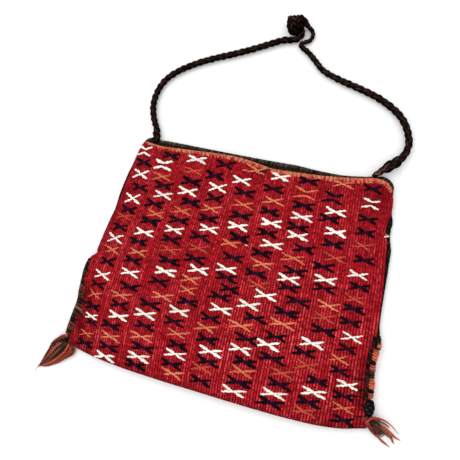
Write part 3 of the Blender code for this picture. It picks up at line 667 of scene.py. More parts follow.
def wound_bar(skein, path, widths, heights, pitch, depth, colours, slant, sides=14,
              spread=0.2, ragged=None, cast=1.0):
    """Yarn wound closely round a core, one ridge each turn, with painted shade in the grooves.

    pitch is the distance from turn to turn, depth the grooves' depth as a share of the radius,
    slant how far the turns lean, and spread how much their colours vary. ragged is the colour
    that shows instead, by a different amount each turn, on the side to the right of the path.
    cast scales how light it is drawn, for each point of the path.
    """
    along = distances(path)
    angles = np.arange(sides) / sides
    wander = [skein.random.uniform(-0.12, 0.12) for _ in range(int(along[-1] / pitch) + 4)]
    phase = along[:, None] / pitch + slant * np.abs(2 * angles[None, :] - 1.0)
    phase = phase + np.interp(phase, np.arange(len(wander)), wander)
    ridge = np.abs(np.sin(math.pi * phase)) ** 0.6
    turns = np.floor(phase).astype(int)
    turns -= turns.min()
    plump = [1.0 + skein.random.uniform(-0.05, 0.05) for _ in range(turns.max() + 1)]
    shades = [skein.shade(skein.random.choice(colours), spread) for _ in range(turns.max() + 1)]
    swell = np.array(plump)[turns] * (1.0 - depth * (1.0 - ridge))
    tint = np.array(shades)[turns]
    if ragged is not None:
        reach = np.array([skein.random.uniform(0.02, 0.62) for _ in plump])[turns]
        aside = 2 * np.minimum(angles, 1.0 - angles)[None, :]
        tint = np.where((aside < reach)[:, :, None], np.array(ragged), tint)
    # The grooves between the turns are darkened: painted shade
    tint = tint * (0.35 + 0.65 * ridge[:, :, None]) * np.reshape(cast, (-1, 1, 1))
    skein.add_tube(path, widths, heights, sides, tint, swell)


# Materials

BUMP_STRENGTH = 0.9


class Finish:
    """A Principled material being put together from nodes."""

    def __init__(self, name, roughness, specular):
        self.material = bpy.data.materials.new(name)
        self.material.use_nodes = True
        self.tree = self.material.node_tree
        self.shader = self.tree.nodes["Principled BSDF"]
        self.shader.inputs["Roughness"].default_value = roughness
        self.shader.inputs["Specular IOR Level"].default_value = specular

    def node(self, kind, inputs=None, **settings):
        """A node with its settings, its inputs given as values or as other nodes' outputs."""
        made = self.tree.nodes.new("ShaderNode" + kind)
        for name, value in settings.items():
            setattr(made, name, value)
        for name, value in (inputs or {}).items():
            if isinstance(value, bpy.types.NodeSocket):
                self.tree.links.new(value, made.inputs[name])
            else:
                made.inputs[name].default_value = value
        return made

    def math(self, operation, first, second=0.0):
        return self.node("Math", {0: first, 1: second}, operation=operation).outputs[0]

    def product(self, made, *factors):
        for factor in factors:
            made = self.math("MULTIPLY", made, factor)
        return made

    def vector(self, x, y, z=0.0):
        return self.node("CombineXYZ", {0: x, 1: y, 2: z}).outputs[0]

    def parts(self, value):
        return self.node("SeparateXYZ", {0: value}).outputs

    def chance(self, x, y):
        """A random value for each pair of numbers."""
        made = self.node("TexWhiteNoise", {"Vector": self.vector(x, y)}, noise_dimensions="2D")
        return made.outputs["Value"]

    def noise(self, where, scale, detail=3.0):
        inputs = {"Vector": where, "Scale": scale, "Detail": detail}
        return self.node("TexNoise", inputs).outputs["Fac"]

    def mix(self, share, first, second, blend="MIX"):
        made = self.node("Mix", data_type="RGBA", blend_type=blend)
        for slot, value in ((0, share), (6, first), (7, second)):
            if isinstance(value, bpy.types.NodeSocket):
                self.tree.links.new(value, made.inputs[slot])
            elif slot:
                made.inputs[slot].default_value = (*value, 1.0)
            else:
                made.inputs[slot].default_value = value
        return made.outputs[2]

    def spread(self, value, low, high, new_low=0.0, new_high=1.0):
        inputs = {"Value": value, "From Min": low, "From Max": high, "To Min": new_low,
                  "To Max": new_high}
        return self.node("MapRange", inputs).outputs[0]

    def grained(self, colour, grain):
        """A colour times a grey grain."""
        return self.mix(1.0, colour, self.vector(grain, grain, grain), "MULTIPLY")

    def place(self):
        return self.node("TexCoord").outputs["Object"]

    def attribute(self, name, output):
        return self.node("Attribute", attribute_name=name).outputs[output]

    def colour(self, value):
        self.tree.links.new(value, self.shader.inputs["Base Color"])

    def bump(self, height, distance):
        inputs = {"Height": height, "Distance": distance, "Strength": BUMP_STRENGTH}
        made = self.node("Bump", inputs)
        self.tree.links.new(made.outputs["Normal"], self.shader.inputs["Normal"])


# Spun yarns: how many plies, their pitch, how flecked, the painted shade between the plies, and
# the gloss
GOAT_HAIR_LOOK = (5, 0.010, 0.005, 0.45, 0.0)
WOOL_LOOKS = {
    "dark": (2, 0.004, 0.02, 0.45, 0.02),
    "brown": (2, 0.004, 0.08, 0.45, 0.02),
    "salmon": (2, 0.004, 0.10, 0.30, 0.02),
    "white": (2, 0.0035, 0.02, 0.10, 0.02),
    "navy": (2, 0.0035, 0.01, 0.45, 0.02),
    "orange": (2, 0.0035, 0.06, 0.30, 0.02),
}
# Weaves: painted shade between the ribs, the ribs, painted highlights, deep dye, painted shade in
# folds
WEAVE_TONES = {
    "red_weave": ((0.105, 0.0008, 0.0030), (0.460, 0.0125, 0.0205), (0.80, 0.110, 0.120),
                  (0.29, 0.0040, 0.0100), (0.035, 0.0015, 0.0030)),
    "back_weave": ((0.008, 0.006, 0.004), (0.036, 0.025, 0.016), (0.11, 0.080, 0.052),
                   (0.020, 0.012, 0.008), (0.010, 0.007, 0.005)),
}


def spun_yarn(name, plies, ply_pitch, fleck, painted_groove_shade, gloss):
    """Plied yarn: twisted plies along it with painted shade between them, fine fibres and uneven
    dye.
    """
    finish = Finish(name, 0.9, gloss)
    lay = finish.parts(finish.attribute("lay", "Vector"))
    turns = finish.product(finish.math("ARCTAN2", lay["Y"], lay["X"]), float(plies))
    twist = finish.math("ADD", turns, finish.product(lay["Z"], 2 * math.pi / ply_pitch))
    ply = finish.spread(finish.math("SINE", twist), -1.0, 1.0)
    fibres = finish.noise(finish.place(), 2600.0, 4.0)
    dye = finish.noise(finish.place(), 160.0, 3.0)
    yarn = finish.attribute("yarn", "Color")
    # Painted shade in the grooves between the plies
    shaded = finish.mix(finish.spread(ply, 0.0, 0.7, painted_groove_shade, 0.0), yarn, (0.0, 0.0, 0.0))
    worn = finish.mix(finish.spread(dye, 0.45, 0.75, 0.0, fleck), shaded, (0.50, 0.38, 0.33))
    finish.colour(finish.grained(worn, finish.spread(fibres, 0.3, 0.7, 0.82, 1.15)))
    finish.bump(finish.math("ADD", ply, finish.product(fibres, 0.7)), 0.00012)
    return finish.material


def weave(name, painted_groove_shade, base, light, deep, shadow):
    """Warp-faced weave: ribs of short beads, painted shade between, painted highlights on them,
    own tone per bead.
    """
    finish = Finish(name, 0.95, 0.02)
    product, spread = finish.product, finish.spread
    lay = finish.parts(finish.attribute("lay", "Vector"))
    rib = lay["X"]
    rib_number = finish.math("FLOOR", rib)
    bead = finish.math("ADD", lay["Y"], product(finish.math("MODULO", rib_number, 2.0), 0.5))
    bead_number = finish.math("FLOOR", finish.math("ADD", bead, 0.5))
    across = finish.math("SINE", product(finish.math("FRACT", rib), math.pi))
    swell = spread(finish.math("COSINE", product(bead, 2 * math.pi)), -1.0, 0.4, 0.66, 1.0)
    crest = product(spread(across, 0.12, 0.86), swell)
    bead_own = finish.chance(rib_number, bead_number)
    rib_own = finish.chance(rib_number, 0.5)
    streaks = finish.noise(finish.vector(product(rib, 0.8), product(lay["Y"], 0.09)), 1.0, 4.0)
    dye = finish.noise(finish.place(), 20.0, 5.0)
    fibres = finish.noise(finish.place(), 2400.0, 4.0)
    patches = finish.noise(finish.place(), 300.0)
    y = finish.parts(finish.place())["Y"]
    # Painted shade in the grooves between the ribs, less of it towards the mouth
    filled = finish.math("MAXIMUM", crest, spread(y, -0.07, 0.09, 0.0, 0.50))
    body = finish.mix(filled, painted_groove_shade, base)
    # Painted highlights on the rib crests, fewer towards the mouth
    painted_highlight = product(spread(crest, 0.55, 1.0), spread(bead_own, 0.0, 1.0, 0.30, 1.0),
                    spread(streaks, 0.42, 0.62, 0.05, 1.0), spread(y, 0.11, -0.08, 0.60, 1.0),
                    spread(rib_own, 0.0, 1.0, 0.40, 1.25))
    lit = finish.mix(painted_highlight, body, light)
    dyed = finish.mix(spread(dye, 0.38, 0.62, 0.5, 0.0), lit, deep)
    fine = product(spread(bead_own, 0.0, 1.0, 0.66, 1.24), spread(fibres, 0.3, 0.7, 0.88, 1.10),
                   spread(rib_own, 0.0, 1.0, 0.90, 1.10), spread(patches, 0.35, 0.65, 0.72, 1.20),
                   spread(y, -0.12, 0.11, 1.12, 0.98))
    # The lay's third value mixes in the colour of the painted shade
    finish.colour(finish.mix(product(lay["Z"], 0.9), finish.grained(dyed, fine), shadow))
    strands = product(finish.math("ADD", rib, product(bead, 0.7)), 6 * math.pi)
    height = finish.math("ADD", product(finish.math("SINE", strands), 0.25), product(fibres, 0.8))
    finish.bump(finish.math("ADD", height, crest), 0.00022)
    return finish.material


def floor_paper():
    """A matt, almost white sheet with a faint mottle."""
    finish = Finish("floor_paper", 0.95, 0.1)
    mottle = finish.noise(finish.place(), 9.0, 5.0)
    finish.colour(finish.mix(mottle, (0.95, 0.95, 0.945), (0.97, 0.97, 0.965)))
    return finish.material


# The strap

BRAID_STRANDS = 3
BRAID_PERIOD = 0.0205
BRAID_RISE = 0.13
STRAND_SIDES = 12
STRAND_STEP = 0.0008
STRAND_LOBES = 4
STRAND_LOBE_DEPTH = 0.07
STRAND_TWIST = 0.012
WORN_STEP = 0.0016
STUB_STEP = 0.0006
# How far each strap's strands swing aside and how thick they are, as shares of its diameter
LEFT_BRAID = (0.235, 0.290)
RIGHT_BRAID = (0.205, 0.305)
# The left strap's stub beside the lashing, in millimetres
LEFT_STUB = ((-114.8, 126), (-117.9, 128.4), (-119.9, 131.8), (-118.6, 135.6))
# Where the right strap slims and where it thins to its loop: the share of its length at which
# that starts, and the share that it takes
SLIMMING = (0.55, 0.25)
THINNING = (0.82, 0.065)
SLIMMED_BY = 0.0012
# Its root grows to its full width over the first of these lengths and is lighter over the second
ROOT_RUN = 0.010
ROOT_GLOW_REACH = 0.009
ROOT_GLOW = 3.0
# The lump behind it: how far along the strap its middle is, and its spread
ROOT_LUMP = (0.0185, 0.0065)
# The knot that closes the loop: how far before the end it starts, and how long it takes to grow
LOOP_KNOT = (0.0055, 0.0035)
LOOP_KNOT_RISE = 0.0050
LOOP_KNOT_SWELL = 0.35


def strap_lift(y, share):
    """How far the strap is raised where it comes down off the hem."""
    beyond = limited((y - BACK_EDGE_Y) / HEM_RAMP)
    return HEM_DEPTH * share * (1.0 - beyond) ** 2


def painted_top_light(angles):
    """How far each point of a ring faces upwards, for each colour of each ring: it sets painted
    light from above.
    """
    return limited(np.sin(angles))[None, :, None] ** 2


def braid(skein, path, diameters, swing, strand_share, glow):
    """Strands that pass over and under each other along a path, lighter where glow is high, with
    painted light and shade.
    """
    aside, up = frames_along(path)
    along = distances(path)
    growth = np.concatenate([[0.0], np.cumsum(np.diff(along) / diameters[1:])])
    angles = ring_angles(STRAND_SIDES)
    twist = 2 * math.pi * along / STRAND_TWIST
    lobes = np.cos(STRAND_LOBES * angles[None, :] + twist[:, None])
    ply = ((lobes[:, :, None] + 1) / 2) ** 2
    thick = 2 * (strand_share * diameters)
    knots = np.arange(0.0, along[-1] + WORN_STEP, WORN_STEP)
    for strand in range(BRAID_STRANDS):
        phase = 2 * math.pi * (growth * STRAP_DIAMETER / BRAID_PERIOD + strand / BRAID_STRANDS)
        out = swing * diameters * np.sin(phase)
        rise = BRAID_RISE * diameters * np.sin(2 * phase)
        centre = path + out[:, None] * aside + rise[:, None] * up
        raised = ((np.sin(2 * phase) + 1) / 2)[:, None, None] ** 2
        worn = np.interp(along, knots, [skein.random.uniform(0.4, 1.9) for _ in knots])
        # Painted highlights on the ply crests and where a strand rides on top, painted shade
        # between the plies and where it dives under
        tint = np.array(HAIR) * (0.16 + 2.3 * ply) * (0.26 + 1.4 * raised)
        # Painted light on the strands' tops and painted shade on their sides, with random flecks
        tint = tint * (0.06 + 1.8 * painted_top_light(angles)) * (worn * glow)[:, None, None]
        skein.add_tube(centre, thick, thick, STRAND_SIDES, tint,
                       1.0 + STRAND_LOBE_DEPTH * lobes, along, rests=True)


def stub(skein, route, heights, thickness, ends, power, colour, sides=12):
    """A short yarn: heights are those of its two ends, ends the part of a bulge that it takes."""
    path = smooth_route(route, STUB_STEP)
    path[:, 2] = np.linspace(*heights, len(path))
    thick = thickness * bulge(np.linspace(*ends, len(path)), power)
    skein.add_tube(path, thick, thick, sides, colour)


def left_strap(material):
    path = smooth_route(LEFT_STRAP_ROUTE, STRAND_STEP)
    thin = np.maximum(shares(len(path)) - 1.0 + LEFT_TIP_SHARE, 0.0) / LEFT_TIP_SHARE
    diameters = STRAP_DIAMETER + (LEFT_TIP_DIAMETER - STRAP_DIAMETER) * thin
    path[:, 2] = CLEARANCE + diameters / 2 + strap_lift(path[:, 1], 0.6)
    skein = Skein(11)
    braid(skein, path, diameters, *LEFT_BRAID, 1.0)
    stub(skein, LEFT_STUB, heights=(0.0034, 0.0034), thickness=0.0030, ends=(0.25, 0.75),
         power=1.0, colour=HAIR, sides=10)
    rope = skein.piece("strap_left_braid", material, ["strap_left"], "goat_hair")


def right_strap(material):
    path = smooth_route(RIGHT_STRAP_ROUTE, STRAND_STEP)
    along = distances(path)
    share = along / along[-1]
    slim, thin = (limited((share - start) / run) for start, run in (SLIMMING, THINNING))
    lump = np.exp(-0.5 * ((along - ROOT_LUMP[0]) / ROOT_LUMP[1]) ** 2)
    root = limited(along / ROOT_RUN)
    loop_knot = limited((along - along[-1] + LOOP_KNOT[0]) / LOOP_KNOT[1])
    diameters = STRAP_DIAMETER - SLIMMED_BY * slim
    diameters = diameters + (LOOP_DIAMETER - diameters) * thin
    diameters = (diameters + (STRAP_END_BULGE - STRAP_DIAMETER) * lump) * (0.70 + 0.30 * root)
    diameters = diameters * (1.0 + LOOP_KNOT_SWELL * loop_knot)
    path[:, 2] = CLEARANCE + diameters / 2 + strap_lift(path[:, 1], 1.0)
    path[:, 2] += LOOP_KNOT_RISE * loop_knot
    skein = Skein(12)
    glow = 1.0 + ROOT_GLOW * np.exp(-(along / ROOT_GLOW_REACH) ** 2)
    braid(skein, path, diameters, *RIGHT_BRAID, glow)
    rope = skein.piece("strap_right_braid", material, ["strap_right", "strap_right_end"],
                       "goat_hair")


TOGGLE_TOP = (0.0124, 0.2758, 0.0090)
TOGGLE_BOTTOM = (0.0142, 0.2618, 0.0078)
TOGGLE_WIDTH = 0.0192
TOGGLE_HEIGHT = 0.0164
TOGGLE_STRANDS = 11
TOGGLE_SIDES = 12
# How far each strand goes round the barrel, as a share of a turn, and its plies' pitch
TOGGLE_TWIST = 0.06
TOGGLE_PLY_PITCH = 0.0052
TOGGLE_LOBE_DEPTH = 0.09
# The core's width as a share of the barrel's
TOGGLE_CORE_SHARE = 0.84
# The toggle's width from its top to its bottom, as shares
TOGGLE_PROFILE = ((0.0, 0.86), (0.03, 0.93), (0.2, 0.98), (0.5, 1.0), (0.8, 0.86), (1.0, 0.58))
TOGGLE_SQUARENESS = 0.55
# How far a strand's top is moved in x and y, for each metre that it lies below the uppermost
TOGGLE_TOP_SLANT = (-0.20, 0.62)
# The yarn's end that stands out at its upper right, in millimetres
TOGGLE_LUMP = ((18.6, 277.6), (21.6, 276.6), (23.8, 274.4), (24.6, 270.6))
# The yarn laid across its top, in millimetres
TOGGLE_CAP = ((5.4, 274.6), (12.4, 275.4), (19.6, 275.6))


def toggle(material):
    """A barrel of braid strands lying side by side, flat on top and drawn in below."""
    skein = Skein(13)
    share = shares(30)
    top = np.array(TOGGLE_TOP)
    core = top + np.outer(share, np.array(TOGGLE_BOTTOM) - top)
    barrel = np.interp(share, *np.array(TOGGLE_PROFILE).T)
    aside, up = frames_along(core)
    size = math.sin(math.pi / TOGGLE_STRANDS) * 1.08
    turn = np.linspace(0.0, 4 * math.pi, 1441)
    corner = np.stack([np.cos(turn), np.sin(turn), np.zeros(len(turn))], 1)
    corner = np.sign(corner) * np.abs(corner) ** TOGGLE_SQUARENESS
    round_it = distances(corner) / distances(corner)[-1] * 2
    angles = ring_angles(TOGGLE_SIDES)
    for strand in range(TOGGLE_STRANDS):
        place = (strand + 0.3) / TOGGLE_STRANDS + TOGGLE_TWIST * share
        across = np.interp(place, round_it, corner[:, 0])
        upward = np.interp(place, round_it, corner[:, 1])
        out = (1.0 - size) * barrel * TOGGLE_WIDTH / 2 * across
        rise = (1.0 - size) * barrel * TOGGLE_HEIGHT / 2 * upward
        path = core + out[:, None] * aside + rise[:, None] * up
        below = ((1.0 - size) * TOGGLE_HEIGHT / 2 - rise.clip(0.0)) * (1.0 - share) ** 2
        path[:, :2] += np.outer(below, TOGGLE_TOP_SLANT)
        width = TOGGLE_WIDTH * size * barrel
        lean = 1 if strand % 2 else -1
        ply_turn = lean * 2 * math.pi * distances(path)[:, None] / TOGGLE_PLY_PITCH
        lobes = np.cos(3 * angles[None, :] + ply_turn)
        worn = np.interp(share, shares(12), [skein.random.uniform(0.3, 1.8) for _ in range(12)])
        # Painted highlights on the ply crests and painted light on the strands' tops
        tint = skein.shade(HAIR, 0.3) * (0.2 + 4.6 * ((lobes[:, :, None] + 1) / 2) ** 4)
        tint = tint * (0.12 + 1.6 * painted_top_light(angles))
        # Random flecks, and darker towards the toggle's lower end
        tint = tint * (worn * (1.5 - 1.35 * share))[:, None, None]
        skein.add_tube(path, width, width, TOGGLE_SIDES, tint, 1.0 + TOGGLE_LOBE_DEPTH * lobes,
                       rests=True)
    hair = np.array(HAIR)
    stub(skein, TOGGLE_LUMP, heights=(0.0105, 0.0060), thickness=0.0046, ends=(0.18, 0.82),
         power=0.5, colour=hair * 2.0)
    stub(skein, TOGGLE_CAP, heights=(0.0128, 0.0128), thickness=0.0030, ends=(0.22, 0.78),
         power=0.5, colour=hair * 1.2)
    inner = TOGGLE_CORE_SHARE * barrel
    skein.add_tube(core, inner * TOGGLE_WIDTH, inner * TOGGLE_HEIGHT, 16, HAIR)
    return skein.piece("toggle_barrel", material, ["toggle_knot"], "goat_hair")


# Each lashing's two ends, its width, its height above the hem and its seed
LASHINGS = {
    "strap_lashing_left": ((-0.1146, 0.1216), (-0.1154, 0.1274), 0.0078, 0.0034, 3),
    "strap_lashing_right": ((0.1200, 0.1180), (0.1262, 0.1234), 0.0052, 0.0030, 4),
}


def lashing(name, material):
    """A few tight turns of hair yarn over the strap's end and the hem."""
    start, end, width, lift, seed = LASHINGS[name]
    skein = Skein(seed)
    share = shares(30)
    path = np.zeros((len(share), 3))
    path[:, 0] = start[0] + (end[0] - start[0]) * share
    path[:, 1] = start[1] + (end[1] - start[1]) * share
    path[:, 2] = HEM_DEPTH / 2 + lift / 2 + 0.0010
    round_off = 0.62 + 0.38 * bulge(share, 0.5)
    wound_bar(skein, path, width * round_off, (HEM_DEPTH + lift) * round_off, pitch=0.0017,
              depth=0.22, colours=[HAIR, DARK, (0.030, 0.017, 0.012)], slant=0.3)
    skein.piece(name + "_turns", material, [name], "goat_hair")


# The front cloth

def rib_columns(ribs, crests):
    """For each line of points up the cloth: its place from -1 to 1, its crest and its rib."""
    steps = np.arange(ribs * len(crests) + 1)
    crest = np.take(crests, steps % len(crests))
    return np.linspace(-1.0, 1.0, len(steps)), crest, steps // len(crests)


def strip(faces, lower, upper):
    """Quads between two rows of as many points."""
    faces.extend(np.stack([lower[:-1], lower[1:], upper[1:], upper[:-1]], 1).tolist())


def sheet_faces(faces, index, flipped):
    """Quads over a grid of points. They face the other way if flipped."""
    for low, high in zip(index, index[1:]):
        strip(faces, *((high, low) if flipped else (low, high)))


def zip_rows(faces, lower, upper, lower_key, upper_key):
    """Triangles between two rows of points that differ in number."""
    lower = lower.tolist()
    upper = upper.tolist()
    i = 0
    j = 0
    while i < len(lower) - 1 or j < len(upper) - 1:
        if j == len(upper) - 1 or (i < len(lower) - 1 and lower_key[i + 1] < upper_key[j + 1]):
            faces.append((lower[i], lower[i + 1], upper[j]))
            i += 1
        else:
            faces.append((lower[i], upper[j + 1], upper[j]))
            j += 1


def profile(share, rows, inset):
    """The cloth's line at each share of the width: points (rows, shares, 3), and inward normals.

    It runs from the seam underneath, round the fold and up to the mouth, inset from the face.
    """
    under_rows, arc_rows, top_rows = rows
    foot_x = x_at(share, FOOT_Y + FOLD_CORNER_RISE)
    radius = fold_radius(foot_x)
    centre_y = fold_y(foot_x) + radius
    inner = radius - inset
    seam = FOOT_Y + FOLD_CORNER_RISE + FOLD_UNDER
    end_x = x_at(share, FOOT_Y + BAG_HEIGHT - 0.006)
    end_y = below_mouth_y(end_x, band_width(end_x) * 0.55)
    points = []
    inward = []
    for step in range(under_rows):
        y = seam + (centre_y - seam) * step / under_rows
        points.append(np.stack([foot_x, y, np.full_like(foot_x, inset)], 1))
        inward.append((0.0, 0.0, 1.0))
    for step in range(arc_rows):
        angle = math.pi * step / arc_rows
        y = centre_y - inner * math.sin(angle)
        points.append(np.stack([foot_x, y, radius - inner * math.cos(angle)], 1))
        inward.append((0.0, math.sin(angle), math.cos(angle)))
    for step in range(top_rows + 1):
        y = centre_y + (end_y - centre_y) * step / top_rows
        x = x_at(share, y)
        settle = limited(step / (0.2 * top_rows))
        x = foot_x + (x - foot_x) * settle if settle < 1.0 else x
        points.append(np.stack([x, y, surface_z(x, y) - inset], 1))
        inward.append((0.0, 0.0, -1.0))
    return np.array(points), np.array(inward)


def front_cloth(material):
    """One sheet of cloth with a beaded face, a plain lining side, and closed edges."""
    share, crest, rib = rib_columns(RIBS, RIB_PROFILE)
    outer, inward = profile(share, (UNDER_ROWS, ARC_ROWS, TOP_ROWS), 0.0)
    row = np.arange(len(outer))
    high = (rib[None, :] + row[:, None]) % 2 == 0
    flat = np.clip((row - UNDER_ROWS - ARC_ROWS / 2) / FOLD_FADE_ROWS, 0.25, 1.0)[:, None]
    depth = RIB_DEPTH * flat * (1.0 - crest[None, :] * np.where(high, 1.0, BEAD_DIP))
    outer = outer + depth[:, :, None] * inward[:, None, :]
    lining_share = np.linspace(-1.0, 1.0, LINING_COLUMNS + 1)
    lining_rows = (UNDER_ROWS // 2, ARC_ROWS // 2, LINING_ROWS)
    inner, _ = profile(lining_share, lining_rows, CLOTH_THICKNESS)
    outer_index = np.arange(outer[..., 0].size).reshape(outer.shape[:2])
    inner_index = np.arange(inner[..., 0].size).reshape(inner.shape[:2]) + outer_index.size
    faces = []
    sheet_faces(faces, outer_index, False)
    sheet_faces(faces, inner_index, True)
    zip_rows(faces, outer_index[0][::-1], inner_index[0][::-1], -share[::-1], -lining_share[::-1])
    zip_rows(faces, outer_index[-1], inner_index[-1], share, lining_share)
    for end in (0, -1):
        sides = []
        for sheet, index in ((outer, outer_index), (inner, inner_index)):
            along = distances(sheet[:, end])
            sides.append((index[:, end], along / along[-1]))
        (lower, lower_key), (upper, upper_key) = sides[::-1] if end else sides
        zip_rows(faces, lower, upper, lower_key, upper_key)
    points = np.concatenate([outer.reshape(-1, 3), inner.reshape(-1, 3)])
    lays = []
    for sheet, places in ((outer, share), (inner, lining_share)):
        lay = np.zeros(sheet.shape)
        lay[:, :, 0] = (places[None, :] + 1.0) / 2 * RIBS
        lay[:, :, 1] = (np.arange(len(sheet)) / 2 * len(outer) / len(sheet))[:, None]
        # The lay's third value is the painted shade
        lay[:, :, 2] = shade(sheet[:, :, 0], sheet[:, :, 1])
        lays.append(lay.reshape(-1, 3))
    return add_piece("front_cloth", points, faces, material, ["front_panel"],
                     lays=np.concatenate(lays))


# The crosses: for each colour, half a float's width, its height, how far the floats lean with
# their arm, how far the arms' lengths vary, and the width's share at the foot

FLOAT_STEPS = 6
FLOAT_SIDES = 7
FLOAT_KINDS = {
    "white": (0.00140, 0.00100, 0.72, 0.06, 0.90),
    "navy": (0.00162, 0.00097, 0.45, 0.14, 0.93),
    "orange": (0.00104, 0.00072, 0.55, 0.18, 1.00),
}
FLOAT_PLACES = (0.16, 0.47, 0.79)
# The tone of a float by its place, from the middle of a cross outwards
FLOAT_TONES = {
    "white": ((1.0, 1.0, 1.0), (1.0, 1.0, 1.0), (1.0, 0.98, 0.95)),
    "navy": ((1.9, 1.0, 1.5), (1.1, 0.75, 0.80), (0.95, 0.60, 0.45)),
    "orange": ((1.0, 1.0, 1.0), (0.95, 0.85, 0.85), (0.85, 0.70, 0.70)),
}
FLOAT_LENGTHS = (0.50, 0.60, 0.46)
FLOAT_FATNESS = (0.80, 1.12, 0.88)
FLOAT_DIVE = 0.0006
SPLIT_GAP = 0.0017
HIDDEN_CROSS_REACH = 0.0018


def cross_place(column, row):
    """Where a cross stands: on smooth lines through its column's places, and set off from them."""
    place = []
    for knots, off in zip(COLUMNS[column], (SET_OFF, SET_UP)):
        fit = np.polyfit(np.linspace(0.0, 20.0, len(knots)), knots, len(knots) - 1)
        place.append((np.polyval(fit, row) + off[column].get(row, 0)) * MILLIMETRE)
    return place


def cross_colour(column, row):
    step = row - column + 1
    for start, slip in COLOUR_SLIPS.get(column, ()):
        if row >= start:
            step += slip
    return COLOUR_ORDER[step % len(COLOUR_ORDER)]


def yarn_float(skein, start, end, half_width, height, colour, raise_by):
    """One float of yarn over the cloth: thickest in its middle, diving in at both ends."""
    t = shares(FLOAT_STEPS + 2)
    x = start[0] + (end[0] - start[0]) * t
    y = start[1] + (end[1] - start[1]) * t
    y = np.minimum(y, below_mouth_y(x, band_width(x)))
    y = y + np.linspace(-1e-6, 1e-6, len(t))
    fat = bulge(np.clip(t, 0.03, 0.97), 0.8)
    arch = bulge(t, 0.8)
    z = surface_z(x, y) + (height * 0.35 + raise_by) * arch - FLOAT_DIVE * (1.0 - arch)
    skein.add_tube(np.stack([x, y, z], 1), 2 * half_width * fat, height * fat + 0.0002,
                   FLOAT_SIDES, colour)


def cross(skein, x, y, colour, kind, split, size, tall):
    """Two slanting strokes, each arm a run of short floats that step up the cloth."""
    share = (y - FOOT_Y) / BAG_HEIGHT
    half_width, height, lean, uneven, foot_share = FLOAT_KINDS[kind]
    reach_x = (FOOT_CROSS_WIDTH + (MOUTH_CROSS_WIDTH - FOOT_CROSS_WIDTH) * share) / 2 * size
    reach_y = (CROSS_HEIGHT / 2 * min(size + 0.08, 1.0) - half_width * 0.6) * tall
    vary = skein.random.uniform
    tone = skein.shade(colour, 0.10)
    half_width *= vary(0.86, 1.12) * min(size, 1.0) * (foot_share + (1.0 - foot_share) * share)
    for right, up in ((1, 1), (-1, -1), (1, -1), (-1, 1)):
        over = right * up < 0
        arm_x = right * reach_x * vary(0.97 - uneven, 0.99 + uneven)
        arm_y = up * reach_y * vary(0.95 - uneven, 0.98 + uneven)
        apart = up * SPLIT_GAP if split else 0.0
        for place, length, fatness, cast in zip(FLOAT_PLACES, FLOAT_LENGTHS, FLOAT_FATNESS,
                                                FLOAT_TONES[kind]):
            centre_x = x + arm_x * place + vary(-0.0004, 0.0004)
            centre_y = y + apart + arm_y * place + vary(-0.00035, 0.00035)
            half = abs(arm_x) * length / 2 * vary(0.9, 1.2)
            tilt = math.atan2(arm_y * right, arm_x * right) * lean + vary(-0.08, 0.08)
            dx = half * math.cos(tilt)
            dy = half * math.sin(tilt)
            wide = half_width * fatness * vary(0.85, 1.12) * (1.10 if over else 0.92)
            yarn_float(skein, (centre_x - dx, centre_y - dy), (centre_x + dx, centre_y + dy),
                       wide, height * vary(0.9, 1.1), skein.shade(tone, 0.10) * cast,
                       0.0003 if over else 0.0)


def crosses(wools):
    colours = {"white": (WHITE,), "navy": (NAVY,), "orange": ORANGES}
    skeins = {kind: Skein(30 + index) for index, kind in enumerate(colours)}
    for column, (*_, rows) in enumerate(COLUMNS):
        for row in range(rows):
            x, y = cross_place(column, row)
            if y > below_mouth_y(x, band_width(x)) + HIDDEN_CROSS_REACH:
                continue
            kind = cross_colour(column, row)
            colour = skeins[kind].random.choice(colours[kind])
            size = COLUMN_SIZES[column] * SMALL_CROSSES.get((column, row), 1.0)
            tall = TALL_CROSSES.get((column, row), 1.0)
            cross(skeins[kind], x, y, colour, kind, (column, row) in SPLIT_CROSSES, size, tall)
    for route in MOUTH_PICKS:
        lying_yarn(skeins["orange"], route, 0.0014, ORANGES[1], lift=0.8)
    made = []
    for kind, skein in skeins.items():
        made.append(skein.piece(kind + "_crosses", wools[kind], ["front_panel"]))
    return made


# The two mouth edges: (x, width) of the front cloth's overcasting

BAND_WIDTHS = (
    (-126, 2.5), (-100, 3.7), (-60, 4.8), (0, 4.8), (30, 5), (80, 5.4), (120, 5.8), (141, 4.2),
)
BAND_DEPTH = 0.0038
BAND_EXTRA = 0.0006
# Its yarn's colours, and the red that shows here and there along its lower side
BAND_TONES = [(0.72, 0.170, 0.085), (0.80, 0.260, 0.150), (0.58, 0.100, 0.055),
              (0.70, 0.160, 0.080)]
BAND_RED = (0.42, 0.016, 0.020)
BAND_ENDS = (-0.1262, 0.1390)
# Over this length at each end it grows to its full width
BAND_END_RUN = 0.003


def band_width(x):
    return through(BAND_WIDTHS, x)


def mouth_band(material):
    x = np.linspace(*BAND_ENDS, 900)
    y = below_mouth_y(x, (band_width(x) + BAND_EXTRA) / 2)
    z = surface_z(x, y) - CLOTH_THICKNESS / 2 + 0.0002
    path = even_path(np.stack([x, y, z], 1), 0.0003)
    width = band_width(path[:, 0]) + BAND_EXTRA
    skein = Skein(41)
    along = distances(path)
    ends = 0.4 + 0.6 * limited(np.minimum(along, along[-1] - along) / BAND_END_RUN) ** 0.5
    wound_bar(skein, path, width * ends, BAND_DEPTH * ends, pitch=0.0013, depth=0.26,
              colours=BAND_TONES, slant=0.3, sides=20, spread=0.22, ragged=BAND_RED)
    return skein.piece("mouth_overcasting", material, ["mouth_band"], "salmon_yarn")


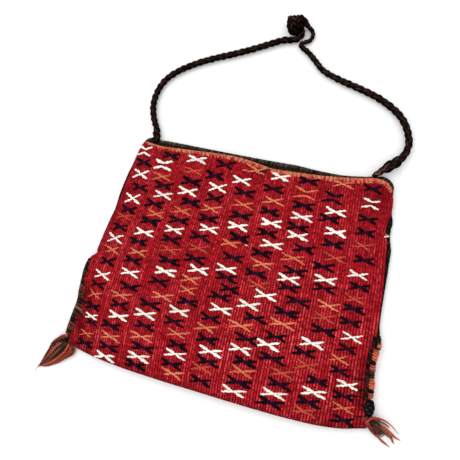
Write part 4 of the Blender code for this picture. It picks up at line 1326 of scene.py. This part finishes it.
BACK_RIBS = 120
BACK_RIB_PROFILE = (0.0, 0.9, 0.9)
BACK_ROWS = 134
BACK_RIB_DEPTH = 0.00040
BACK_EDGE_Y = 0.122
BACK_INSET = 0.0014
BACK_TOP_INSET = 0.0022
# The upper corners fall away over this share of half the width, by this much
BACK_CORNER_RUN = 0.045
BACK_CORNER_DROP = 0.0085


def back_line(share, y):
    left = edge_x(-1, y) + BACK_INSET
    right = edge_x(1, y) - BACK_INSET
    return (left + right) / 2 + share * (right - left) / 2


def back_cloth(material):
    """The flat back: a slab of weave with beads on both faces."""
    low = FOOT_Y + FOLD_CORNER_RISE + FOLD_UNDER + CLEARANCE
    share, crest, rib = rib_columns(BACK_RIBS, BACK_RIB_PROFILE)
    corner = limited((np.abs(share) - (1.0 - BACK_CORNER_RUN)) / BACK_CORNER_RUN)
    high = through(BACK_TOP, back_line(share, BACK_EDGE_Y - 0.010)) - BACK_TOP_INSET
    high = high - BACK_CORNER_DROP * corner ** 2
    sheets = np.zeros((2, BACK_ROWS + 1, len(share), 3))
    for step in range(BACK_ROWS + 1):
        y = low + (high - low) * step / BACK_ROWS
        sunk = BACK_RIB_DEPTH * (1.0 - crest * np.where((rib + step) % 2, BEAD_DIP, 1.0))
        sheets[:, step, :, 0] = back_line(share, y)
        sheets[:, step, :, 1] = y
        sheets[:, step, :, 2] = (sunk, CLOTH_THICKNESS - sunk)
    under, over = np.arange(sheets[..., 0].size).reshape(sheets.shape[:3])
    faces = []
    sheet_faces(faces, over, False)
    sheet_faces(faces, under, True)
    strip(faces, under[0], over[0])
    strip(faces, over[-1], under[-1])
    strip(faces, over[:, 0], under[:, 0])
    strip(faces, under[:, -1], over[:, -1])
    lay = np.zeros(sheets.shape)
    lay[..., 0] = (share + 1.0) / 2 * BACK_RIBS
    lay[..., 1] = (np.arange(BACK_ROWS + 1) / 2)[None, :, None]
    return add_piece("back_cloth", sheets.reshape(-1, 3), faces, material, ["back_panel"],
                     lays=lay.reshape(-1, 3))


# The back's edge roll: its outer line in millimetres, from the left wrapping up, along the top
# and down to the right wrapping, with its width
BACK_EDGE = (
    (-150.4, -10, 2.6), (-150.2, -5.6, 2.8), (-147.5, 13, 3.2), (-144.6, 29.9, 3.6),
    (-142.6, 39.9, 4), (-142.1, 54.4, 4.6), (-140.4, 70.2, 4.6), (-138.4, 82.3, 4.2),
    (-136, 91.6, 3.6), (-133.4, 106, 3.2), (-131.8, 113, 3.2), (-130, 118, 3.6),
    (-127.7, 122.4, 3.8), (-124.8, 125.2, 4.2), (-121, 126.6, 4.6), (-116.5, 126.6, 4.6),
    (-108.4, 125, 4), (-100, 125, 4.2), (-86, 124.4, 4.6), (-66, 123.4, 4.8), (-38, 122, 4.8),
    (-19, 121.1, 4.8), (14, 119.8, 4.8), (45, 118.8, 4.6), (61, 117.2, 4.4), (80, 115.9, 4.2),
    (94, 115.7, 4), (111, 117.3, 4), (124, 119.4, 4), (131, 119.8, 3.8), (137, 117.2, 3.4),
    (141, 111.6, 2.6), (141.6, 104, 1.8), (142.6, 95, 1.8), (144, 84, 2.8), (146, 77.6, 5.4),
    (145.6, 69.6, 5.6), (146, 62.9, 5), (147.7, 55.5, 4.4), (149.2, 49.2, 4.6), (149.4, 39.6, 4.2),
    (149.8, 27.3, 3.4), (149.9, 18, 2.6), (150.2, 4, 2.2), (150.4, -7, 1.9), (151, -19, 1.8),
    (152.4, -26, 2.4), (153.4, -33, 3),
)
EDGE_TONES = [(0.024, 0.017, 0.015), (0.062, 0.049, 0.038), (0.098, 0.078, 0.066),
              (0.038, 0.029, 0.023)]
# Below this y the edge is on the bag's sides, where it is drawn darker
SIDE_EDGE_TOP = 0.104
SIDE_EDGE_FADE = 0.010
SIDE_EDGE_CAST = 0.22


def back_edge(material):
    """Dark overcasting along the back's free edges."""
    table = np.array(BACK_EDGE)
    outline = smooth_route(table[:, :2], 0.0006)
    knots = distances(np.column_stack([table[:, :2] * MILLIMETRE, np.zeros(len(table))]))
    along = distances(outline)
    width = np.interp(along / along[-1], knots / knots[-1], table[:, 2]) * MILLIMETRE
    aside, _ = frames_along(outline)
    path = outline + aside * (width / 2)[:, None]
    on_top = limited((width - 0.0022) / 0.002)
    heights = edge_z() * 0.86 + (HEM_DEPTH - edge_z() * 0.86) * on_top
    path[:, 2] = heights / 2 + LOWEST
    at_mouth = limited((path[:, 1] - SIDE_EDGE_TOP) / SIDE_EDGE_FADE)
    skein = Skein(42)
    wound_bar(skein, path, width, heights, pitch=0.0018, depth=0.20, colours=EDGE_TONES, slant=0.7,
              sides=12, cast=SIDE_EDGE_CAST + (1.0 - SIDE_EDGE_CAST) * at_mouth)
    return skein.piece("back_overcasting", material, ["back_hem"], "dark_yarn")


# The wrapped sides, their knots and tassels

STITCH_PITCH = 0.0017
STITCH_SIDES = 7
STITCH_STEP = 0.0009
# How far the stitches stand out from the cloth's edge, and the radius that they turn with
STITCH_OUT = 0.0008
EDGE_RADIUS = 0.0030
# The width and height of the wound yarn under the left stitches
LEFT_CORE = (0.0030, 0.0050)
# (y, reach) of how far the left stitches reach inward
LEFT_STITCH_REACH = (
    (-125, 6), (-104, 8.5), (-92, 10), (-82, 12), (-74, 15), (-64, 12.5), (-49, 8), (-33, 5.5),
    (-20, 4),
)


def edge_stitch(skein, y, inner, slant, size, colour):
    """One turn of yarn from the underside round the cloths' left edge to the upper face."""
    edge = float(edge_x(-1, y)) - STITCH_OUT
    turn = np.linspace(-0.5 * math.pi, 0.5 * math.pi, 8)
    centre = edge + EDGE_RADIUS
    straight = shares(7)[1:]
    x = np.concatenate([[centre + 0.0015], centre - EDGE_RADIUS * np.cos(turn),
                        centre + (inner - EDGE_RADIUS) * straight])
    middle = edge_z() / 2 + 0.0003
    z = np.concatenate([[middle - EDGE_RADIUS + 0.0004], middle + EDGE_RADIUS * np.sin(turn),
                        np.zeros(len(straight))])
    inward = np.abs(edge - x)
    lie = y + slant * np.where(z > middle, inward, -inward)
    lie[-len(straight):] = y + slant * inward[-len(straight):]
    over = surface_z(x[-len(straight):], lie[-len(straight):])
    blend = np.minimum(straight * 2.0, 1.0)
    z[-len(straight):] = np.maximum(over, (middle + EDGE_RADIUS) * (1 - blend) + over * blend)
    z[-1] -= size * 0.5
    path = even_path(np.stack([x, lie, z], 1), STITCH_STEP)
    width = size * np.interp(shares(len(path)), [0, 0.15, 0.85, 1], [0.6, 1, 1, 0.5])
    skein.add_tube(path, width, width * 0.8, STITCH_SIDES, skein.shade(colour, 0.25), rests=True)


def left_wrapping(wools):
    """Slanting whipping in dark yarns over the left edge, with the red showing between."""
    mixes = {
        "dark": [DARK, DARK, OLIVE, OLIVE, BROWN],
        "brown": [BROWN, OLIVE, DARK, DARK, (0.15, 0.046, 0.026)],
        "salmon": [(0.26, 0.068, 0.038), DARK, BROWN],
    }
    top = wrap_top_y(-1)
    for number, (colour, length) in enumerate(LEFT_WRAPS, 1):
        skein = Skein(50 + number)
        vary = skein.random.uniform
        count = max(round(length / STITCH_PITCH), 2)
        for turn in range(count):
            y = top - length * (turn + 0.5 + vary(-0.2, 0.2)) / count
            inner = float(through(LEFT_STITCH_REACH, y)) * vary(0.45, 1.10)
            edge_stitch(skein, y, max(inner, EDGE_RADIUS + 0.0004), vary(-0.5, -0.1),
                        vary(0.0015, 0.0026), skein.random.choice(mixes[colour]))
        y = np.linspace(top, top - length, round(length / 0.0005) + 1)
        x = edge_x(-1, y) - 0.0004
        path = np.stack([x, y, np.full_like(y, edge_z() / 2)], 1)
        core = mixes["dark"] if colour == "salmon" else mixes[colour]
        wound_bar(skein, path, *LEFT_CORE, pitch=0.0024, depth=0.36, colours=core, slant=0.9,
                  sides=10)
        skein.yarn_piece(f"left_wrapping_{number}", f"left_wrap_{number}", colour, wools)
        top -= length


# The width of the right wrapping and about how far apart its turns are
RIGHT_WRAP_WIDTH = 0.0063
RIGHT_TURN_PITCH = 0.0023
# The run of it that has redder yarns
REDDER_RUN = 4
# (y, x) of the middle of the right wrapping
RIGHT_WRAP_LINE = (
    (-96, 153.6), (-89.1, 153.4), (-84.3, 153.4), (-80.7, 153.8), (-74.5, 153.6), (-67.2, 152.3),
    (-60.5, 151.6), (-54.7, 151.3), (-47.6, 151.7), (-37.3, 152.4), (-29.6, 151.8), (-22, 151.4),
)


def right_wrapping(wools):
    """Beads of salmon yarn with dark turns between them, wound over the right edge."""
    mixes = {
        "dark": [DARK, DARK, OLIVE, (0.026, 0.014, 0.010)],
        "salmon": [(0.60, 0.110, 0.058), (0.68, 0.150, 0.080), (0.50, 0.080, 0.042)],
    }
    redder = [(0.42, 0.055, 0.034), (0.56, 0.090, 0.050), (0.20, 0.028, 0.018)]
    top = wrap_top_y(1)
    for number, (colour, length) in enumerate(RIGHT_WRAPS, 1):
        skein = Skein(70 + number)
        y = np.linspace(top, top - length + CLEARANCE, round(length / 0.0003) + 1)
        share = (top - y) / length
        plump = 0.72 + 0.30 * bulge(share, 0.6)
        if colour == "dark":
            plump = 0.84 + 0.04 * bulge(share)
        if number == 1:
            plump = 0.55 + 0.45 * np.minimum(share * 1.6, 1.0) ** 0.7
        path = np.stack([through(RIGHT_WRAP_LINE, y), y,
                         np.full_like(y, WRAP_HEIGHT / 2 + 0.0002)], 1)
        turns = max(round(length / RIGHT_TURN_PITCH), 1)
        tones = redder if number == REDDER_RUN else mixes[colour]
        wound_bar(skein, path, RIGHT_WRAP_WIDTH * plump, WRAP_HEIGHT * plump,
                  pitch=length / turns, depth=0.42, colours=tones, slant=0.5, sides=18)
        skein.yarn_piece(f"right_wrapping_{number}", f"right_wrap_{number}", colour, wools)
        top -= length


# Dark yarn lying beside the right wrapping, and the stitches that run inward from it
RIGHT_INNER_LINE = (
    (149, -30), (147.8, -38.7), (147.4, -46.7), (147, -54.2), (147.6, -61.4), (148.8, -67.9),
    (150, -74.3), (150.4, -80.1), (150.2, -86),
)
INWARD_STITCHES = (
    ((136, -71.6), (149, -69)), ((137.6, -81), (149.6, -78.4)), ((140.4, -85.4), (150.4, -83.6)),
    ((143.6, -101.8), (151, -100.4)), ((146.5, -92), (150.5, -91)),
)
# A loose dark yarn below the mouth
MOUTH_STITCH = ((11.4, 102.6), (17.2, 104.8), (23.2, 106.8))
# A turn of salmon yarn over the topmost dark run
SALMON_BLOB = ((153.0, -34.6), (153.2, -37.2), (153.0, -40.0))
# Loose orange picks at the mouth
MOUTH_PICKS = (
    ((-6.4, 101.5), (-1.3, 102.8)), ((-3.9, 109.5), (2.1, 106.6)), ((6, 103.4), (13, 100.8)),
)


LYING_STEP = 0.0012


def lying_yarn(skein, route, size, colour, lift):
    """A yarn that lies on the front cloth. lift is how far its middle is raised, in sizes."""
    path = smooth_route(route, LYING_STEP)
    path[:, 2] = surface_z(path[:, 0], path[:, 1]) + size * lift
    fat = bulge(np.clip(shares(len(path)), 0.06, 0.94), 0.4)
    skein.add_tube(path, size * fat, size * 0.8 * fat, 8, colour)


def dark_stitches(material):
    skein = Skein(85)
    path = smooth_route(RIGHT_INNER_LINE, 0.0004)
    path[:, 2] = surface_z(path[:, 0], path[:, 1]) + 0.0006
    size = 0.0030 + 0.0008 * np.sin(distances(path) / 0.0026)
    wound_bar(skein, path, size, size * 0.8, pitch=0.0026, depth=0.35,
              colours=[DARK, HAIR, (0.050, 0.020, 0.013)], slant=0.9)
    blob = smooth_route(SALMON_BLOB, 0.0003)
    blob[:, 2] = WRAP_HEIGHT / 2 + 0.0010
    thick = bulge(np.linspace(0.1, 0.9, len(blob)), 0.5)
    wound_bar(skein, blob, 0.0052 * thick, WRAP_HEIGHT * thick, pitch=0.0021, depth=0.3,
              colours=[SALMON], slant=0.5)
    for start, end in INWARD_STITCHES:
        middle = ((start[0] + end[0]) / 2, (start[1] + end[1]) / 2 + 0.3)
        lying_yarn(skein, (start, middle, end), 0.0011, skein.shade(DARK, 0.3), lift=0.2)
    lying_yarn(skein, MOUTH_STITCH, 0.0017, DARK, lift=0.9)
    skein.piece("dark_stitches", material, slot="dark_yarn")


# Each corner knot's middle, its width, length and height, and its seed
KNOTS = {
    "left": ((-0.1560, -0.1082, 0.0040), (0.0074, 0.0086, 0.0072), 77),
    "right": ((0.1546, -0.0920, 0.0047), (0.0096, 0.0146, 0.0090), 78),
}
KNOT_STEPS = 44
KNOT_SIDES = 20
KNOT_COLOUR = (0.0050, 0.0036, 0.0040)


def corner_knot(label, material):
    """A knot of crossing turns of yarn, with painted glints where the turns cross."""
    middle, (width, length, height), seed = KNOTS[label]
    skein = Skein(seed)
    share = shares(KNOT_STEPS)
    path = np.tile(middle, (KNOT_STEPS, 1))
    path[:, 1] += length * (0.5 - share)
    ball = bulge(0.06 + 0.88 * share, 0.5)
    across = 2.5 * ring_angles(KNOT_SIDES)[None, :]
    one = np.abs(np.sin(across + 9.0 * share[:, None]))
    other = np.abs(np.sin(across - 9.0 * share[:, None] + 0.8))
    swell = 0.74 + 0.28 * np.maximum(one, other) ** 0.8
    # Painted glints where the turns cross
    tint = np.array(KNOT_COLOUR) * (0.5 + 26.0 * (one * other)[:, :, None] ** 7)
    skein.add_tube(path, width * ball, height * ball, KNOT_SIDES, tint, swell, rests=True)
    skein.piece(label + "_knot", material, [label + "_corner_knot"], "dark_yarn")


YARN_SIZE = 0.00095
YARN_STEP = 0.0010
# How high a usual lock lies at its root and at its tip, over its bed
LOCK_ROOT_RISE = 0.0052
LOCK_TIP_RISE = 0.0008
LOCK_BED = 0.0002
# The wool of each of a tassel's solids
TASSEL_WOOLS = {1: "salmon", 2: "dark", 3: "salmon"}
TASSEL_COLOURS = {
    "brick": ((0.42, 0.065, 0.04), (0.52, 0.1, 0.06), (0.26, 0.045, 0.028), (0.12, 0.04, 0.024)),
    "olive": ((0.075, 0.045, 0.022), (0.045, 0.028, 0.018), (0.022, 0.014, 0.01)),
    "core": ((0.115, 0.052, 0.036), (0.17, 0.085, 0.052), (0.04, 0.018, 0.013),
             (0.14, 0.06, 0.042), (0.07, 0.034, 0.022)),
    "wine": ((0.11, 0.02, 0.016), (0.18, 0.03, 0.022), (0.27, 0.05, 0.034)),
    "rust": ((0.52, 0.14, 0.066), (0.44, 0.1, 0.052), (0.22, 0.075, 0.038), (0.12, 0.055, 0.03)),
    "mixed": ((0.16, 0.062, 0.042), (0.24, 0.09, 0.06), (0.06, 0.028, 0.016), (0.32, 0.07, 0.046)),
    "bright": ((0.64, 0.13, 0.085), (0.54, 0.09, 0.06), (0.4, 0.06, 0.04)),
    "knob": ((0.56, 0.08, 0.045), (0.44, 0.055, 0.034), (0.26, 0.05, 0.026), (0.12, 0.05, 0.024)),
    "pale": ((0.28, 0.14, 0.09), (0.2, 0.1, 0.062)),
    "pink": ((0.46, 0.065, 0.05), (0.36, 0.045, 0.036), (0.54, 0.11, 0.08)),
    "red": ((0.44, 0.028, 0.034), (0.36, 0.02, 0.028), (0.5, 0.06, 0.048)),
}


def tassel(label, locks, seed, wools):
    """Locks of loose yarns that come out of a knot and lie on the floor."""
    skeins = {solid: Skein(seed + solid) for solid in TASSEL_WOOLS}
    for solid, colour, yarns, widths, lift, route in locks:
        skein = skeins[solid]
        vary = skein.random.uniform
        middle = smooth_route(route, YARN_STEP)
        aside, _ = frames_along(middle)
        t = shares(len(middle))
        width = np.interp(t, (0.0, 0.5, 1.0), widths) * MILLIMETRE
        for _ in range(yarns):
            drift = vary(-1.0, 1.0) + 0.25 * np.sin(t * vary(4.0, 10.0) + vary(0.0, 6.0))
            path = middle + (drift * width / 2)[:, None] * aside
            path = path[:max(int(len(path) * vary(0.82, 1.0)), 4)]
            share = t[:len(path)] / t[len(path) - 1]
            size = YARN_SIZE * vary(0.65, 1.2) * (1.0 - 0.75 * share ** 2.5)
            full = LOCK_ROOT_RISE * (1.0 - share) ** 1.2 + LOCK_TIP_RISE
            path[:, 2] = size / 2 + LOCK_BED + (lift + vary(0.0, 0.35)) * full
            tint = skein.shade(skein.random.choice(TASSEL_COLOURS[colour]), 0.25)
            skein.add_tube(path, size, size, 6, tint)
    for solid, skein in skeins.items():
        skein.yarn_piece(f"{label}_tassel_yarns_{solid}", f"{label}_tassel_{solid}",
                         TASSEL_WOOLS[solid], wools)


# Small things, with their places in millimetres

TUFT_PLACE = (142.6, 62.5)
TUFT_YARNS = 7
LONE_PICK = ((14.6, 26.9), (17.2, 26.7))


def wool_tuft(material):
    """A pale knot of fluff at the right edge, and a lone white pick in the middle."""
    skein = Skein(95)
    vary = skein.random.uniform
    for _ in range(TUFT_YARNS):
        start = (TUFT_PLACE[0] + vary(-0.9, 0.9), TUFT_PLACE[1] + vary(-1.0, 1.0))
        end = (start[0] + vary(-1.8, 1.8), start[1] + vary(-1.8, 1.8))
        lying_yarn(skein, (start, end), 0.0013, skein.shade(WHITE, 0.1), lift=0.5)
    lying_yarn(skein, LONE_PICK, 0.0014, WHITE, lift=0.4)
    skein.piece("wool_fluff", material)


FLOOR_REACH = 6.0
FLOOR_DROP = 0.0002
SKY_STRENGTH = 1.08
# Each light's place, size and power
LIGHTS = {
    "key": ((-0.55, 0.75, 1.25), 0.6, 2.8),
    "fill": ((0.9, -0.4, 1.0), 1.0, 1.0),
}


def floor():
    mesh = bpy.data.meshes.new("floor")
    corners = ((-1, -1), (1, -1), (1, 1), (-1, 1))
    points = [(x * FLOOR_REACH, y * FLOOR_REACH, 0.0) for x, y in corners]
    mesh.from_pydata(points, [], [(0, 1, 2, 3)])
    mesh.materials.append(floor_paper())
    sheet = new_object("floor", mesh)
    sheet.location.z = -FLOOR_DROP


def area_light(name, place, size, power):
    data = bpy.data.lights.new(name, "AREA")
    data.shape = "DISK"
    data.size = size
    data.energy = power
    light = new_object(name, data)
    light.location = place
    light.rotation_euler = (-Vector(place)).to_track_quat("-Z", "Y").to_euler()


def lighting():
    world = bpy.data.worlds.new("studio")
    world.use_nodes = True
    background = world.node_tree.nodes["Background"]
    background.inputs["Color"].default_value = (1.0, 1.0, 1.0, 1.0)
    background.inputs["Strength"].default_value = SKY_STRENGTH
    bpy.context.scene.world = world
    for name, light in LIGHTS.items():
        area_light(name, *light)
    bpy.context.scene.view_settings.view_transform = "Standard"


camera()
goat_hair = spun_yarn("goat_hair", *GOAT_HAIR_LOOK)
wools = {colour: spun_yarn(colour + "_wool", *look) for colour, look in WOOL_LOOKS.items()}
red_weave, back_weave = (weave(name, *tones) for name, tones in WEAVE_TONES.items())

barrel = toggle(goat_hair)
left_strap(goat_hair)
right_strap(goat_hair)
for lashed in LASHINGS:
    lashing(lashed, goat_hair)

cloth = front_cloth(red_weave)
patterns = crosses(wools)
band = mouth_band(wools["salmon"])
back = back_cloth(back_weave)
roll = back_edge(wools["dark"])

left_wrapping(wools)
right_wrapping(wools)
dark_stitches(wools["dark"])
for label in KNOTS:
    corner_knot(label, wools["dark"])
tassel("left", LEFT_TASSEL, 110, wools)
tassel("right", RIGHT_TASSEL, 120, wools)
wool_tuft(wools["white"])

floor()
lighting()
